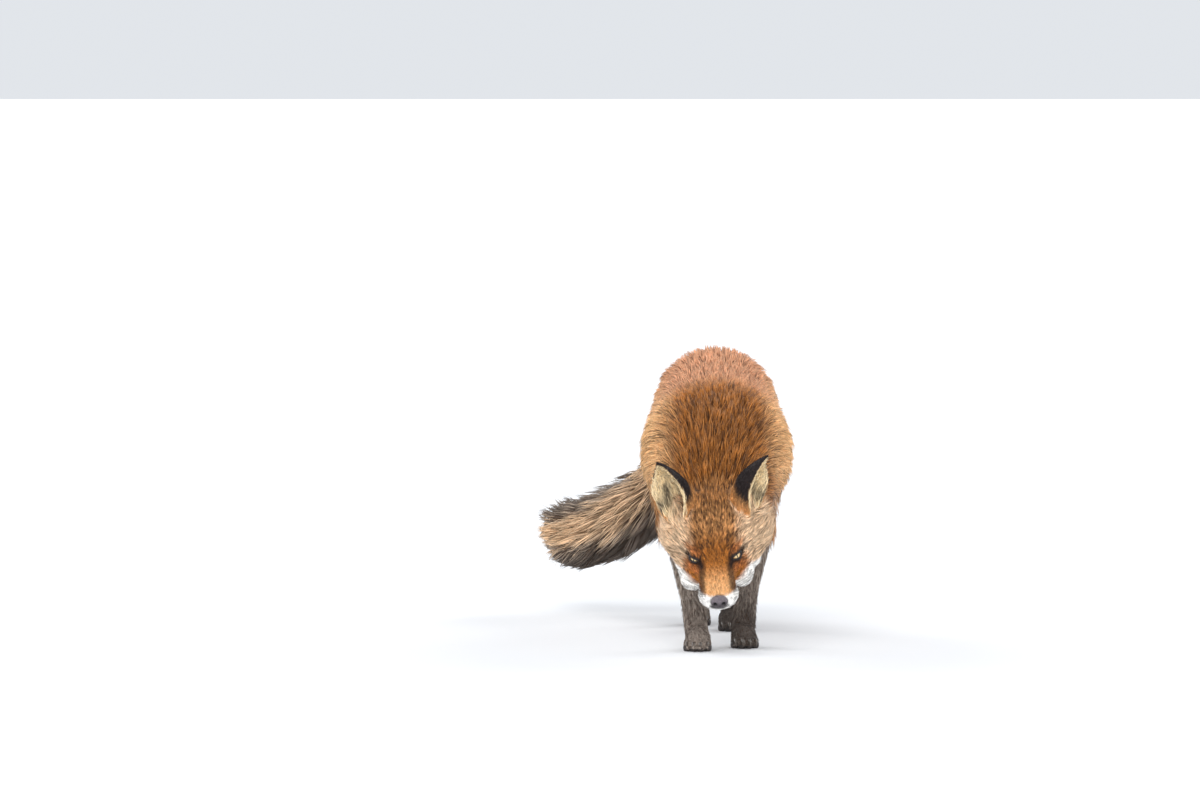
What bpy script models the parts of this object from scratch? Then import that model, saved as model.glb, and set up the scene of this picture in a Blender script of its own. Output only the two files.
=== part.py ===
"""A red fox, life size, in a slow walk with its nose near the ground and its brush swung to its right.

Metres, +Z up. The fox faces -Y, so its left side is +X. It is modelled whole, out to the tips of the
coat: lofts and ellipsoids are fused by a voxel remesh, then the figure is parted with thin cuts.
"""

from math import cos, pi, radians, sin

import bmesh
import bpy
from mathutils import Euler, Matrix, Vector

# Driving sizes of the animal
EYE_HEIGHT = 0.135  # the bridge between the eyes, above the floor
EYE_AHEAD = 0.195  # the same point, ahead of the shoulder joint
HEAD_PITCH = radians(46)  # nose down
HEAD_ROLL = radians(-4.5)  # left side raised a little
CHEST_SHIFT = 0.005  # the body stands a little to the left of the head's line
RUMP_SHIFT = 0.008
PAW_HALF_WIDTH = 0.0175
EYE_RADIUS = 0.0092
EYE_PLACE = Vector((0.0222, -0.0088, -0.0020))  # in the head's own frame, left side
EAR_LENGTH = 0.088

# How the figure is made
GAP = 0.0003
VOXEL = 0.0026
BODY_TRIANGLES = 4950
SOLE_DIP = 0.003  # how far the feet are modelled past the floor before they are cut flat


# ---------------------------------------------------------------- scene and mesh helpers
def clear_scene():
    for obj in list(bpy.data.objects):
        bpy.data.objects.remove(obj)


def add_object(name, bm):
    mesh = bpy.data.meshes.new(name)
    bm.to_mesh(mesh)
    bm.free()
    obj = bpy.data.objects.new(name, mesh)
    bpy.context.scene.collection.objects.link(obj)
    return obj


def apply_modifiers(obj):
    bpy.context.view_layer.update()
    graph = bpy.context.evaluated_depsgraph_get()
    baked = bpy.data.meshes.new_from_object(obj.evaluated_get(graph))
    obj.modifiers.clear()
    obj.data = baked
    return obj


def boolean(obj, operation, other):
    """obj cut by, joined to or kept within other, which is then removed."""
    modifier = obj.modifiers.new("cut", "BOOLEAN")
    modifier.operation = operation
    modifier.object = other
    modifier.solver = "EXACT"
    apply_modifiers(obj)
    bpy.data.objects.remove(other)
    return obj


def copy_of(obj, name):
    twin = bpy.data.objects.new(name, obj.data.copy())
    bpy.context.scene.collection.objects.link(twin)
    return twin


def grown(obj, by=GAP):
    """A copy of obj whose surface stands proud by the gap, for cutting a neighbour."""
    twin = copy_of(obj, obj.name + "_grown")
    modifier = twin.modifiers.new("grow", "DISPLACE")
    modifier.strength = by
    modifier.mid_level = 0.0
    return apply_modifiers(twin)


# ---------------------------------------------------------------- curves through stations
def smooth_stations(stations, steps=4):
    """Catmull-Rom rows between the given rows of numbers, so that a loft swells without corners."""
    rows = [stations[0], *stations, stations[-1]]
    out = []
    for p0, p1, p2, p3 in zip(rows, rows[1:], rows[2:], rows[3:]):
        for k in range(steps):
            t = k / steps
            out.append(
                [
                    b + 0.5 * t * (c - a + t * (2 * a - 5 * b + 4 * c - d + t * (3 * b - a - 3 * c + d)))
                    for a, b, c, d in zip(p0, p1, p2, p3)
                ]
            )
    return [*out, list(stations[-1])]


def loft(bm, stations, sides=20, place=Matrix.Identity(4), steps=4, upright=False):
    """A closed tube through rows of (x, y, z, half width, half depth), each ring square to the line or upright."""
    rows = smooth_stations(stations, steps)
    centres = [Vector(row[:3]) for row in rows]
    rings = []
    for i, row in enumerate(rows):
        tangent = (centres[min(i + 1, len(rows) - 1)] - centres[max(i - 1, 0)]).normalized()
        if upright:
            tangent = Vector((0, 1 if tangent.y > 0 else -1, 0))
        side = Vector((1, 0, 0)) - tangent * tangent.x
        side.normalize()
        depth = tangent.cross(side)
        ring = bmesh.ops.create_circle(bm, segments=sides, radius=1.0)["verts"]
        for vert in ring:
            vert.co = place @ (centres[i] + side * vert.co.x * row[3] + depth * vert.co.y * row[4])
        rings.append(ring)
    edges = [{e for v in ring for e in v.link_edges} for ring in rings]
    for near, far in zip(edges, edges[1:]):
        bmesh.ops.bridge_loops(bm, edges=list(near | far))
    for ring in (rings[0], rings[-1]):
        bmesh.ops.contextual_create(bm, geom=ring)


def ellipsoid(bm, centre, radii, turn=(0, 0, 0), place=Matrix.Identity(4)):
    """A closed egg; turn is in degrees about X, Y and Z."""
    matrix = Matrix.LocRotScale(Vector(centre), Euler([radians(a) for a in turn]), Vector(radii))
    bmesh.ops.create_icosphere(bm, subdivisions=3, radius=1.0, matrix=place @ matrix)


# ---------------------------------------------------------------- the flesh, out to the tips of the coat
def head_frame():
    """From the head's own frame, nose towards -Y and crown towards +Z, to the fox's."""
    turn = Matrix.Rotation(HEAD_ROLL, 4, "Y") @ Matrix.Rotation(HEAD_PITCH, 4, "X")
    return Matrix.Translation((0, -EYE_AHEAD, EYE_HEIGHT)) @ turn


def add_trunk(bm):
    # y, top, bottom, half width
    sections = [
        (-0.088, 0.262, 0.190, 0.034),
        (-0.066, 0.290, 0.162, 0.062),
        (-0.030, 0.313, 0.150, 0.085),
        (0.020, 0.326, 0.146, 0.095),
        (0.090, 0.332, 0.149, 0.095),
        (0.160, 0.341, 0.160, 0.089),
        (0.225, 0.353, 0.180, 0.082),
        (0.280, 0.362, 0.200, 0.080),
        (0.325, 0.359, 0.212, 0.077),
        (0.362, 0.342, 0.232, 0.061),
        (0.386, 0.318, 0.258, 0.036),
    ]
    start, end = sections[0][0], sections[-1][0]
    stations = []
    for y, top, low, half in sections:
        x = CHEST_SHIFT + (RUMP_SHIFT - CHEST_SHIFT) * (y - start) / (end - start)
        stations.append((x, y, (top + low) / 2, half, (top - low) / 2))
    loft(bm, stations, sides=28, upright=True)


def add_neck(bm):
    stations = [
        (0.004, 0.040, 0.250, 0.082, 0.070),
        (0.004, -0.020, 0.236, 0.082, 0.074),
        (0.003, -0.070, 0.212, 0.077, 0.069),
        (0.001, -0.110, 0.188, 0.070, 0.060),
        (0, -0.140, 0.170, 0.062, 0.052),
    ]
    loft(bm, stations, sides=28)


def add_head(bm, place):
    # Along the skull: y, top, bottom, half width, in the head's own frame
    sections = [
        (0.098, 0.020, -0.034, 0.042),
        (0.074, 0.033, -0.046, 0.054),
        (0.046, 0.038, -0.048, 0.058),
        (0.022, 0.034, -0.045, 0.055),
        (0.002, 0.0225, -0.040, 0.042),
        (-0.014, 0.0115, -0.036, 0.030),
        (-0.032, 0.0055, -0.033, 0.0240),
        (-0.050, 0.0015, -0.0315, 0.0220),
        (-0.065, -0.0015, -0.0305, 0.0210),
        (-0.074, -0.0050, -0.0285, 0.0185),
        (-0.0795, -0.0110, -0.0240, 0.0115),
    ]
    stations = [(0, y, (top + low) / 2, half, (top - low) / 2) for y, top, low, half in sections]
    loft(bm, stations, place=place, upright=True)
    for side, full in ((-1, -0.0015), (1, 0.0035)):
        # ruff, fuller on the left, then lower cheek, jaw, brow and whisker pad
        ellipsoid(bm, (side * (0.037 + full), 0.042, -0.019), (0.037 + full, 0.035, 0.035), (0, side * 18, side * 14), place)
        ellipsoid(bm, (side * (0.027 + full), 0.024, -0.031), (0.029 + full, 0.036, 0.021), (0, side * 14, side * 26), place)
        ellipsoid(bm, (side * 0.0215, 0.008, -0.0335), (0.0235, 0.044, 0.0195), (0, side * 14, side * 17), place)
        ellipsoid(bm, (side * 0.021, 0.010, 0.012), (0.016, 0.020, 0.012), (0, side * 20, 0), place)
        ellipsoid(bm, (side * 0.0120, -0.058, -0.019), (0.0135, 0.018, 0.0115), (0, 0, side * -6), place)
    # crown and chin
    ellipsoid(bm, (0, 0.040, 0.018), (0.048, 0.046, 0.023), place=place)
    ellipsoid(bm, (0, -0.052, -0.0295), (0.012, 0.022, 0.008), (-6, 0, 0), place)


def add_forelegs(bm):
    # x, y, z, half width, half depth; the right foot is forward, and both swing in towards the middle
    right = [
        (-0.050, 0.004, 0.262, 0.034, 0.052),
        (-0.053, 0.008, 0.215, 0.029, 0.046),
        (-0.052, 0.010, 0.180, 0.0240, 0.036),
        (-0.044, -0.004, 0.140, 0.0185, 0.0245),
        (-0.035, -0.018, 0.100, 0.0160, 0.0185),
        (-0.027, -0.031, 0.066, 0.0155, 0.0165),
        (-0.022, -0.042, 0.036, 0.0155, 0.0155),
        (-0.020, -0.050, 0.016, 0.0150, 0.0170),
    ]
    left = [
        (0.052, 0.012, 0.262, 0.034, 0.052),
        (0.056, 0.022, 0.215, 0.031, 0.046),
        (0.057, 0.030, 0.180, 0.0270, 0.036),
        (0.055, 0.024, 0.140, 0.0215, 0.0265),
        (0.049, 0.017, 0.104, 0.0180, 0.0195),
        (0.0425, 0.012, 0.070, 0.0160, 0.0165),
        (0.0395, 0.005, 0.036, 0.0155, 0.0155),
        (0.0385, -0.002, 0.016, 0.0150, 0.0170),
    ]
    loft(bm, right)
    loft(bm, left)


def add_hindlegs(bm):
    # the left foot is under the loins, the right one is about to leave the ground
    left = [
        (0.046, 0.322, 0.285, 0.034, 0.060),
        (0.055, 0.298, 0.245, 0.032, 0.058),
        (0.056, 0.275, 0.205, 0.027, 0.046),
        (0.050, 0.276, 0.168, 0.0215, 0.034),
        (0.042, 0.294, 0.132, 0.0175, 0.0235),
        (0.035, 0.311, 0.104, 0.0150, 0.0190),
        (0.032, 0.306, 0.078, 0.0140, 0.0150),
        (0.030, 0.294, 0.046, 0.0140, 0.0145),
        (0.028, 0.283, 0.018, 0.0150, 0.0170),
    ]
    right = [
        (-0.030, 0.330, 0.285, 0.034, 0.058),
        (-0.040, 0.318, 0.245, 0.032, 0.056),
        (-0.041, 0.306, 0.205, 0.027, 0.046),
        (-0.036, 0.322, 0.168, 0.0215, 0.034),
        (-0.028, 0.350, 0.136, 0.0175, 0.0235),
        (-0.022, 0.376, 0.112, 0.0150, 0.0190),
        (-0.018, 0.381, 0.084, 0.0140, 0.0150),
        (-0.015, 0.379, 0.048, 0.0140, 0.0145),
        (-0.014, 0.376, 0.018, 0.0150, 0.0170),
    ]
    loft(bm, left)
    loft(bm, right)


PAWS = {  # middle of each foot on the floor, and how far it toes out in degrees
    "forepaw_right": ((-0.019, -0.064), -3),
    "forepaw_left": ((0.0385, -0.016), 5),
    "hindpaw_left": ((0.027, 0.264), 4),
    "hindpaw_right": ((-0.014, 0.360), -4),
}
TOES = [(-0.0125, -0.0140), (-0.0043, -0.0205), (0.0043, -0.0205), (0.0125, -0.0140)]


def paw_frame(name):
    (x, y), toe_out = PAWS[name]
    return Matrix.Translation((x, y, 0)) @ Matrix.Rotation(radians(toe_out), 4, "Z")


def add_paw(bm, place):
    ellipsoid(bm, (0, 0.001, 0.0150), (PAW_HALF_WIDTH - 0.001, 0.023, 0.0165), place=place)
    ellipsoid(bm, (0, 0.008, 0.0050), (0.0130, 0.015, 0.0090), place=place)
    for x, y in TOES:
        ellipsoid(bm, (x, y, 0.0070), (0.0058, 0.0125, 0.0095), (-8, 0, -x * 700), place)


TAIL = [  # x, y, z, half width, half depth
    (RUMP_SHIFT, 0.330, 0.318, 0.026, 0.024),
    (0.002, 0.384, 0.288, 0.031, 0.030),
    (-0.018, 0.428, 0.232, 0.041, 0.040),
    (-0.050, 0.460, 0.174, 0.049, 0.049),
    (-0.098, 0.488, 0.131, 0.053, 0.052),
    (-0.142, 0.524, 0.107, 0.052, 0.051),
    (-0.173, 0.565, 0.101, 0.046, 0.046),
    (-0.187, 0.606, 0.103, 0.033, 0.034),
    (-0.190, 0.642, 0.108, 0.012, 0.012),
]


def whole_figure():
    bm = bmesh.new()
    place = head_frame()
    add_trunk(bm)
    add_neck(bm)
    add_head(bm, place)
    add_forelegs(bm)
    add_hindlegs(bm)
    loft(bm, TAIL, sides=24)
    for name in PAWS:
        add_paw(bm, paw_frame(name))
    figure = add_object("figure", bm)
    fuse = figure.modifiers.new("fuse", "REMESH")
    fuse.mode = "VOXEL"
    fuse.voxel_size = VOXEL
    soften = figure.modifiers.new("soften", "SMOOTH")
    soften.iterations = 7
    soften.factor = 0.5
    apply_modifiers(figure)
    return thinned(figure)


def thinned(figure):
    """Fewer triangles, spent mostly on the head and the feet."""
    head = head_frame().inverted()
    fine = figure.vertex_groups.new(name="plain")
    for vert in figure.data.vertices:
        local = head @ vert.co
        face = local.y < 0.06 and local.z > -0.07 and vert.co.z > 0.04
        weight = 0.93 if face or vert.co.z < 0.03 else 1.0
        fine.add([vert.index], weight, "REPLACE")
    faces = sum(len(p.vertices) - 2 for p in figure.data.polygons)
    thin = figure.modifiers.new("thin", "DECIMATE")
    thin.ratio = BODY_TRIANGLES / faces
    thin.vertex_group = "plain"
    thin.vertex_group_factor = 1.0
    apply_modifiers(figure)
    figure.vertex_groups.clear()
    return figure


# ---------------------------------------------------------------- parting cuts
def cutter(centre, size, turn=(0, 0, 0), place=Matrix.Identity(4), grow=0.0):
    """A box to part the figure with; turn is in degrees."""
    bm = bmesh.new()
    sides = Vector(size) + Vector((grow, grow, grow)) * 2
    matrix = Matrix.LocRotScale(Vector(centre), Euler([radians(a) for a in turn]), sides)
    bmesh.ops.create_cube(bm, size=1.0, matrix=place @ matrix)
    return add_object("cutter", bm)


def part_off(figure, name, *box, **options):
    """The part of the figure inside a box becomes its own object, and a thin gap is left behind."""
    piece = boolean(copy_of(figure, name), "INTERSECT", cutter(*box, **options))
    boolean(figure, "DIFFERENCE", cutter(*box, grow=GAP, **options))
    return piece


def cut_soles_flat(figure):
    boolean(figure, "DIFFERENCE", cutter((0, 0.2, -0.05), (1.0, 1.6, 0.1)))


def beyond(centre, normal, reach, width=0.3, height=0.3):
    """A box on the far side of the plane through centre: its size, its middle and its placing."""
    turn = Vector(normal).normalized().to_track_quat("Y", "Z").to_matrix().to_4x4()
    return (0, reach / 2, 0), (width, reach, height), Matrix.Translation(centre) @ turn


def part_tail(figure):
    """Root, brush and tip, with cuts across the tail's line."""
    middle, size, place = beyond((0, 0.404, 0.28), (0, 1, 0), 0.3, width=0.7, height=0.7)
    root = part_off(figure, "tail_root", middle, size, place=place)
    pieces = [root]
    for name, index in (("tail_tip", 6), ("tail_brush", 3)):
        here, after, before = Vector(TAIL[index][:3]), Vector(TAIL[index + 1][:3]), Vector(TAIL[index - 1][:3])
        middle, size, place = beyond(here, after - before, 0.30)
        pieces.append(part_off(root, name, middle, size, place=place))
    return pieces


def part_paws(figure):
    return [part_off(figure, name, (x, y + 0.004, 0.012), (0.056, 0.088, 0.052)) for name, ((x, y), _) in PAWS.items()]


def part_legs(figure):
    """The legs below the line of the belly."""
    pieces = []
    for name, side in (("foreleg_right", -1), ("foreleg_left", 1)):
        pieces.append(part_off(figure, name, (side * 0.07, 0.0, 0.0865), (0.14, 0.22, 0.113)))
    for name, side in (("hindleg_right", -1), ("hindleg_left", 1)):
        pieces.append(part_off(figure, name, (side * 0.07, 0.311, 0.104), (0.14, 0.184, 0.148)))
    return pieces


def part_front(figure):
    head = part_off(figure, "head", (0, -0.035, 0.010), (0.24, 0.220, 0.230), place=head_frame())
    place = Matrix.Translation((0, -0.075, 0.235)) @ Matrix.Rotation(radians(20), 4, "X")
    neck = part_off(figure, "neck", (0, -0.080, 0.010), (0.24, 0.160, 0.220), place=place)
    return head, neck


def part_trunk(figure):
    """Shoulders, loins and hips, front to back."""
    middle, size, place = beyond((0, 0.236, 0.25), (0, 1, -0.12), 0.22)
    hips = part_off(figure, "hips", middle, size, place=place)
    middle, size, place = beyond((0, 0.090, 0.25), (0, 1, 0), 0.25)
    loins = part_off(figure, "loins", middle, size, place=place)
    figure.name = "shoulders"
    return [hips, loins]


# ---------------------------------------------------------------- eyes, nose, ears and claws
def eye(side, place):
    bm = bmesh.new()
    matrix = place @ Matrix.Translation((side * EYE_PLACE.x, EYE_PLACE.y, EYE_PLACE.z))
    bmesh.ops.create_uvsphere(bm, u_segments=14, v_segments=8, radius=EYE_RADIUS, matrix=matrix)
    return add_object("eye_left" if side > 0 else "eye_right", bm)


def nose_pad(place):
    """The bare pad: broad above, narrow below, a little flat in front."""
    bm = bmesh.new()
    bmesh.ops.create_uvsphere(bm, u_segments=14, v_segments=8, radius=1.0)
    for vert in bm.verts:
        x, y, z = vert.co
        narrow = 1.0 - 0.22 * max(0.0, -z)
        vert.co = Vector((0.0112 * x * narrow, 0.0085 * y * (1 - 0.15 * y * y), 0.0092 * z))
    bmesh.ops.transform(bm, matrix=place @ Matrix.Translation((0, -0.0765, -0.0105)), verts=bm.verts)
    return add_object("nose", bm)


def ear(side, place):
    """A tapering scoop: crescents stacked from a nearly closed root to the point."""
    facing = radians(32 if side < 0 else 58)  # how far the opening is turned outwards
    axis = Vector((-0.22 if side < 0 else 0.33, 0.03, 0.94)).normalized()
    out = Vector((side * sin(facing), -cos(facing), 0))
    out = (out - axis * out.dot(axis)).normalized()
    across = axis.cross(out)
    root = Vector((side * 0.0355, 0.048, 0.014))
    # share of the length, radius, half opening of the arc in degrees, wall
    levels = [
        (0.00, 0.0200, 145, 0.0060),
        (0.16, 0.0245, 128, 0.0060),
        (0.32, 0.0272, 108, 0.0055),
        (0.48, 0.0256, 92, 0.0050),
        (0.64, 0.0208, 82, 0.0046),
        (0.78, 0.0148, 76, 0.0042),
        (0.90, 0.0086, 70, 0.0034),
        (1.00, 0.0026, 60, 0.0020),
    ]
    points = 7
    bm = bmesh.new()
    rings = []
    for share, radius, opening, wall in smooth_stations(levels, steps=1):
        # the tip leans forward over the opening a little
        centre = root + axis * (EAR_LENGTH + 0.016) * share + out * 0.006 * share**2
        ring = bmesh.ops.create_circle(bm, segments=2 * points, radius=1.0)["verts"]
        for k, vert in enumerate(ring):
            outer = k < points
            step = k if outer else 2 * points - 1 - k
            angle = radians(opening) * (2 * step / (points - 1) - 1)
            reach = radius if outer else max(radius - wall, 0.0006)
            back = -out * cos(angle) + across * sin(angle)
            vert.co = place @ (centre + back * reach + out * radius * 0.2)
        rings.append({e for v in ring for e in v.link_edges})
    for near, far in zip(rings, rings[1:]):
        bmesh.ops.bridge_loops(bm, edges=list(near | far))
    bmesh.ops.holes_fill(bm, edges=bm.edges)
    bmesh.ops.recalc_face_normals(bm, faces=bm.faces)
    return add_object("ear_left" if side > 0 else "ear_right", bm)


def add_claws(paw, name):
    """Four blunt curved claws joined to the toes they grow from."""
    place = paw_frame(name)
    for x, y in TOES:
        bm = bmesh.new()
        root = Vector((x, y - 0.0070, 0.0105))
        stations = [
            (0, 0, 0, 0.0019, 0.0024),
            (0, -0.0060, -0.0005, 0.0017, 0.0022),
            (0, -0.0130, -0.0058, 0.0006, 0.0007),
        ]
        loft(bm, stations, sides=4, place=place @ Matrix.Translation(root), steps=1)
        boolean(paw, "UNION", add_object("claw", bm))


# ---------------------------------------------------------------- materials and the finished figure
FINISHES = {  # colour, roughness
    "coat_orange": ((0.62, 0.30, 0.12), 0.85),
    "coat_dark": ((0.10, 0.06, 0.05), 0.85),
    "coat_brush": ((0.34, 0.20, 0.11), 0.85),
    "ear_black": ((0.03, 0.025, 0.025), 0.8),
    "eye_amber": ((0.62, 0.42, 0.14), 0.1),
    "nose_black": ((0.05, 0.04, 0.045), 0.45),
}
FINISH_OF = {
    "eye": "eye_amber",
    "nose": "nose_black",
    "ear": "ear_black",
    "forepaw": "coat_dark",
    "hindpaw": "coat_dark",
    "foreleg": "coat_dark",
    "tail": "coat_brush",
}


def paint(obj):
    finish = FINISH_OF.get(obj.name.split("_")[0], "coat_orange")
    material = bpy.data.materials.get(finish)
    if material is None:
        colour, roughness = FINISHES[finish]
        material = bpy.data.materials.new(finish)
        material.use_nodes = True
        shader = material.node_tree.nodes["Principled BSDF"]
        shader.inputs["Base Color"].default_value = (*colour, 1)
        shader.inputs["Roughness"].default_value = roughness
        shader.inputs["Metallic"].default_value = 0.0
    obj.data.materials.clear()
    obj.data.materials.append(material)
    for face in obj.data.polygons:
        face.use_smooth = True
    obj.data.set_sharp_from_angle(angle=radians(50))


def centre_on_floor(objects):
    """The origin goes to the middle of the figure's box, at floor level."""
    corners = [vert.co for obj in objects for vert in obj.data.vertices]
    x = [c.x for c in corners]
    y = [c.y for c in corners]
    shift = Matrix.Translation((-(min(x) + max(x)) / 2, -(min(y) + max(y)) / 2, 0))
    for obj in objects:
        obj.data.transform(shift)


def build():
    clear_scene()
    place = head_frame()
    figure = whole_figure()
    cut_soles_flat(figure)
    paws = part_paws(figure)
    head, neck = part_front(figure)
    flesh = [head, neck, figure, *part_tail(figure), *part_legs(figure), *part_trunk(figure), *paws]
    eyes = [eye(side, place) for side in (-1, 1)]
    nose = nose_pad(place)
    for organ in (*eyes, nose):
        boolean(head, "DIFFERENCE", grown(organ))
    ears = [boolean(ear(side, place), "DIFFERENCE", grown(head)) for side in (-1, 1)]
    for paw in paws:
        add_claws(paw, paw.name)
    objects = [*flesh, nose, *eyes, *ears]
    for obj in objects:
        paint(obj)
    centre_on_floor(objects)


build()
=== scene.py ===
from math import cos, pi, radians, sin

import bmesh
import bpy
import numpy as np
from mathutils import Matrix, Vector
from mathutils.bvhtree import BVHTree
from mathutils.kdtree import KDTree


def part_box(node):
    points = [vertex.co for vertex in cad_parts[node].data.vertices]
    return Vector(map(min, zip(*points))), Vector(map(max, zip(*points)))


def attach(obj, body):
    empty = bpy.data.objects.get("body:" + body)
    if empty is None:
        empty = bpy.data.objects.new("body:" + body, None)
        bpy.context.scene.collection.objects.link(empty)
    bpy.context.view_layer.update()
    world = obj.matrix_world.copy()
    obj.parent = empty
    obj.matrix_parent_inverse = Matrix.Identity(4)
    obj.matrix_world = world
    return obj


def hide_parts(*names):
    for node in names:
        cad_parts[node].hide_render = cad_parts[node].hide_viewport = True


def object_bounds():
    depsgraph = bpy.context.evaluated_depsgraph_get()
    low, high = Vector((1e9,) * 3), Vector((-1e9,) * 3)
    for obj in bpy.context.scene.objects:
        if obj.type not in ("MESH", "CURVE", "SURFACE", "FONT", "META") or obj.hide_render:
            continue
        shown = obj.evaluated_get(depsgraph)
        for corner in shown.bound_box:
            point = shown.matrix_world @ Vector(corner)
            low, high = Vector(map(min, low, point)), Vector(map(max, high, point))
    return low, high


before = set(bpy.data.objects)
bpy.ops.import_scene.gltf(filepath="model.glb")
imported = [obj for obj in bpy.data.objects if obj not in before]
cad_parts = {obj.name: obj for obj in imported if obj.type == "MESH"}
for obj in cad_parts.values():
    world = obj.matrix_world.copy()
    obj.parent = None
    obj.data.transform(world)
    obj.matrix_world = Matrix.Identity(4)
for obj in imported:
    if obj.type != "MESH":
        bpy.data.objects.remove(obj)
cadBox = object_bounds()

for spare in ("Cube", "Light", "Camera"):
    if spare in bpy.data.objects:
        bpy.data.objects.remove(bpy.data.objects[spare])

dice = np.random.default_rng(41)


# where things are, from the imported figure
def middleOf(node):
    low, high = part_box(node)
    return (low + high) / 2


stance = {"pitch": 46, "roll": -4.5, "headAt": (0, -0.195, 0.135), "eyesInHead": (0, -0.0088, -0.0020)}
headRoll = Matrix.Rotation(radians(stance["roll"]), 4, "Y")
headTurn = headRoll @ Matrix.Rotation(radians(stance["pitch"]), 4, "X")
eyesMiddle = (middleOf("eye_left") + middleOf("eye_right")) / 2
headPlace = Matrix.Translation(eyesMiddle - headTurn @ Vector(stance["eyesInHead"])) @ headTurn
headAxes = np.array(headTurn.to_3x3())
figureZero = headPlace.translation - Vector(stance["headAt"])


def inHead(points):  # nose towards -Y, crown towards +Z
    return (points - np.array(headPlace.translation)) @ headAxes


def headPoint(x, y, z):
    return np.array(headPlace @ Vector((x, y, z)))


def headWay(x, y, z):
    way = headTurn.to_3x3() @ Vector((x, y, z))
    return np.array(way.normalized())


def bodyPoint(x, y, z):
    return np.array(figureZero) + np.array((x, y, z))


def headLine(*places, side=1):
    return [headPoint(side * x, y, z) for x, y, z in places]


def bodyLine(*places, side=1):
    return [bodyPoint(side * x, y, z) for x, y, z in places]


# small sums used all over
def ramp(values, low, high):  # 0 below low, 1 above high, smooth between
    share = np.clip((values - low) / (high - low), 0, 1)
    return share * share * (3 - 2 * share)


def fade(values, none, full):  # 1 below full, 0 above none
    return ramp(-values, -none, -full)


def unit(vectors):
    return vectors / np.maximum(np.linalg.norm(vectors, axis=-1, keepdims=True), 1e-12)


def blob(points, centre, reach):
    return np.exp(-(((points - centre) / reach) ** 2).sum(axis=1))


def ridge(values, middle, reach):
    return np.exp(-(((values - middle) / reach) ** 2))


def toLine(points, start, end):  # distance from a straight length, and how far along it
    along = end - start
    share = np.clip((points - start) @ along / (along @ along), 0, 1)
    return np.linalg.norm(points - start - share[:, None] * along, axis=1), share


def nearRoute(points, route):
    return np.min([toLine(points, start, end)[0] for start, end in zip(route, route[1:])], axis=0)


def nearestLength(points, line):  # number of a line's nearest straight length, share along it, distance
    number, along = np.zeros(len(points), int), np.zeros(len(points))
    nearest = np.full(len(points), 1e9)
    for k, (start, end) in enumerate(zip(line, line[1:])):
        distance, share = toLine(points, start, end)
        closer = distance < nearest
        number = np.where(closer, k, number)
        along = np.where(closer, share, along)
        nearest = np.where(closer, distance, nearest)
    return number, along, nearest


def readThrees(items, field, kind=float):
    out = np.empty(len(items) * 3, kind)
    items.foreach_get(field, out)
    return out.reshape(-1, 3)


def pointsOf(mesh):
    return readThrees(mesh.vertices, "co")


def normalsOf(mesh):
    return readThrees(mesh.vertex_normals, "vector")


def trianglesOf(mesh):
    mesh.calc_loop_triangles()
    return readThrees(mesh.loop_triangles, "vertices", np.int32)


def setPoints(mesh, points):
    mesh.vertices.foreach_set("co", points.ravel())
    mesh.update()


def meshFrom(bm, name):
    mesh = bpy.data.meshes.new(name)
    bm.to_mesh(mesh)
    bm.free()
    return mesh


def newObject(name, data):
    obj = bpy.data.objects.new(name, data)
    bpy.context.scene.collection.objects.link(obj)
    return obj


def meshOf(obj):  # the object's mesh with its modifiers or its bevel worked out
    bpy.context.view_layer.update()
    graph = bpy.context.evaluated_depsgraph_get()
    return bpy.data.meshes.new_from_object(obj.evaluated_get(graph))


def settle(obj):  # the modifiers become part of the mesh
    made = meshOf(obj)
    obj.modifiers.clear()
    old = obj.data
    obj.data = made
    bpy.data.meshes.remove(old)


def addMarks(mesh, name, *channels):  # up to four values for each point, read by the materials
    colours = np.stack(np.broadcast_arrays(*channels), axis=-1)
    layer = mesh.attributes.new(name, "FLOAT_COLOR", "POINT")
    layer.data.foreach_set("color", np.ascontiguousarray(colours, np.float32).ravel())


class Web:  # neighbours of every point of a mesh, for smoothing
    def __init__(self, mesh):
        ends = np.empty(len(mesh.edges) * 2, np.int32)
        mesh.edges.foreach_get("vertices", ends)
        self.first, self.second = ends.reshape(-1, 2).T
        self.size = len(mesh.vertices)
        self.count = np.maximum(np.bincount(ends, minlength=self.size), 1)

    def mean(self, values):
        flat = values.reshape(self.size, -1)
        out = np.empty_like(flat)
        for k in range(flat.shape[1]):
            out[:, k] = np.bincount(self.first, flat[self.second, k], self.size)
            out[:, k] += np.bincount(self.second, flat[self.first, k], self.size)
            out[:, k] /= self.count
        return out.reshape(values.shape)

    def spread(self, values, rounds, share=0.5):
        for _ in range(rounds):
            values = values + share * (self.mean(values) - values)
        return values


# materials: sums on sockets are written as plain sums
class Wire:
    def __init__(self, finish, socket):
        self.finish = finish
        self.socket = socket

    def sum(self, operation, first, second):
        return self.finish.node("ShaderNodeMath", {"operation": operation}, {0: first, 1: second})

    def __add__(self, other):
        return self.sum("ADD", self, other)

    def __radd__(self, other):
        return self.sum("ADD", other, self)

    def __sub__(self, other):
        return self.sum("SUBTRACT", self, other)

    def __rsub__(self, other):
        return self.sum("SUBTRACT", other, self)

    def __mul__(self, other):
        return self.sum("MULTIPLY", self, other)

    def __rmul__(self, other):
        return self.sum("MULTIPLY", other, self)


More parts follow.
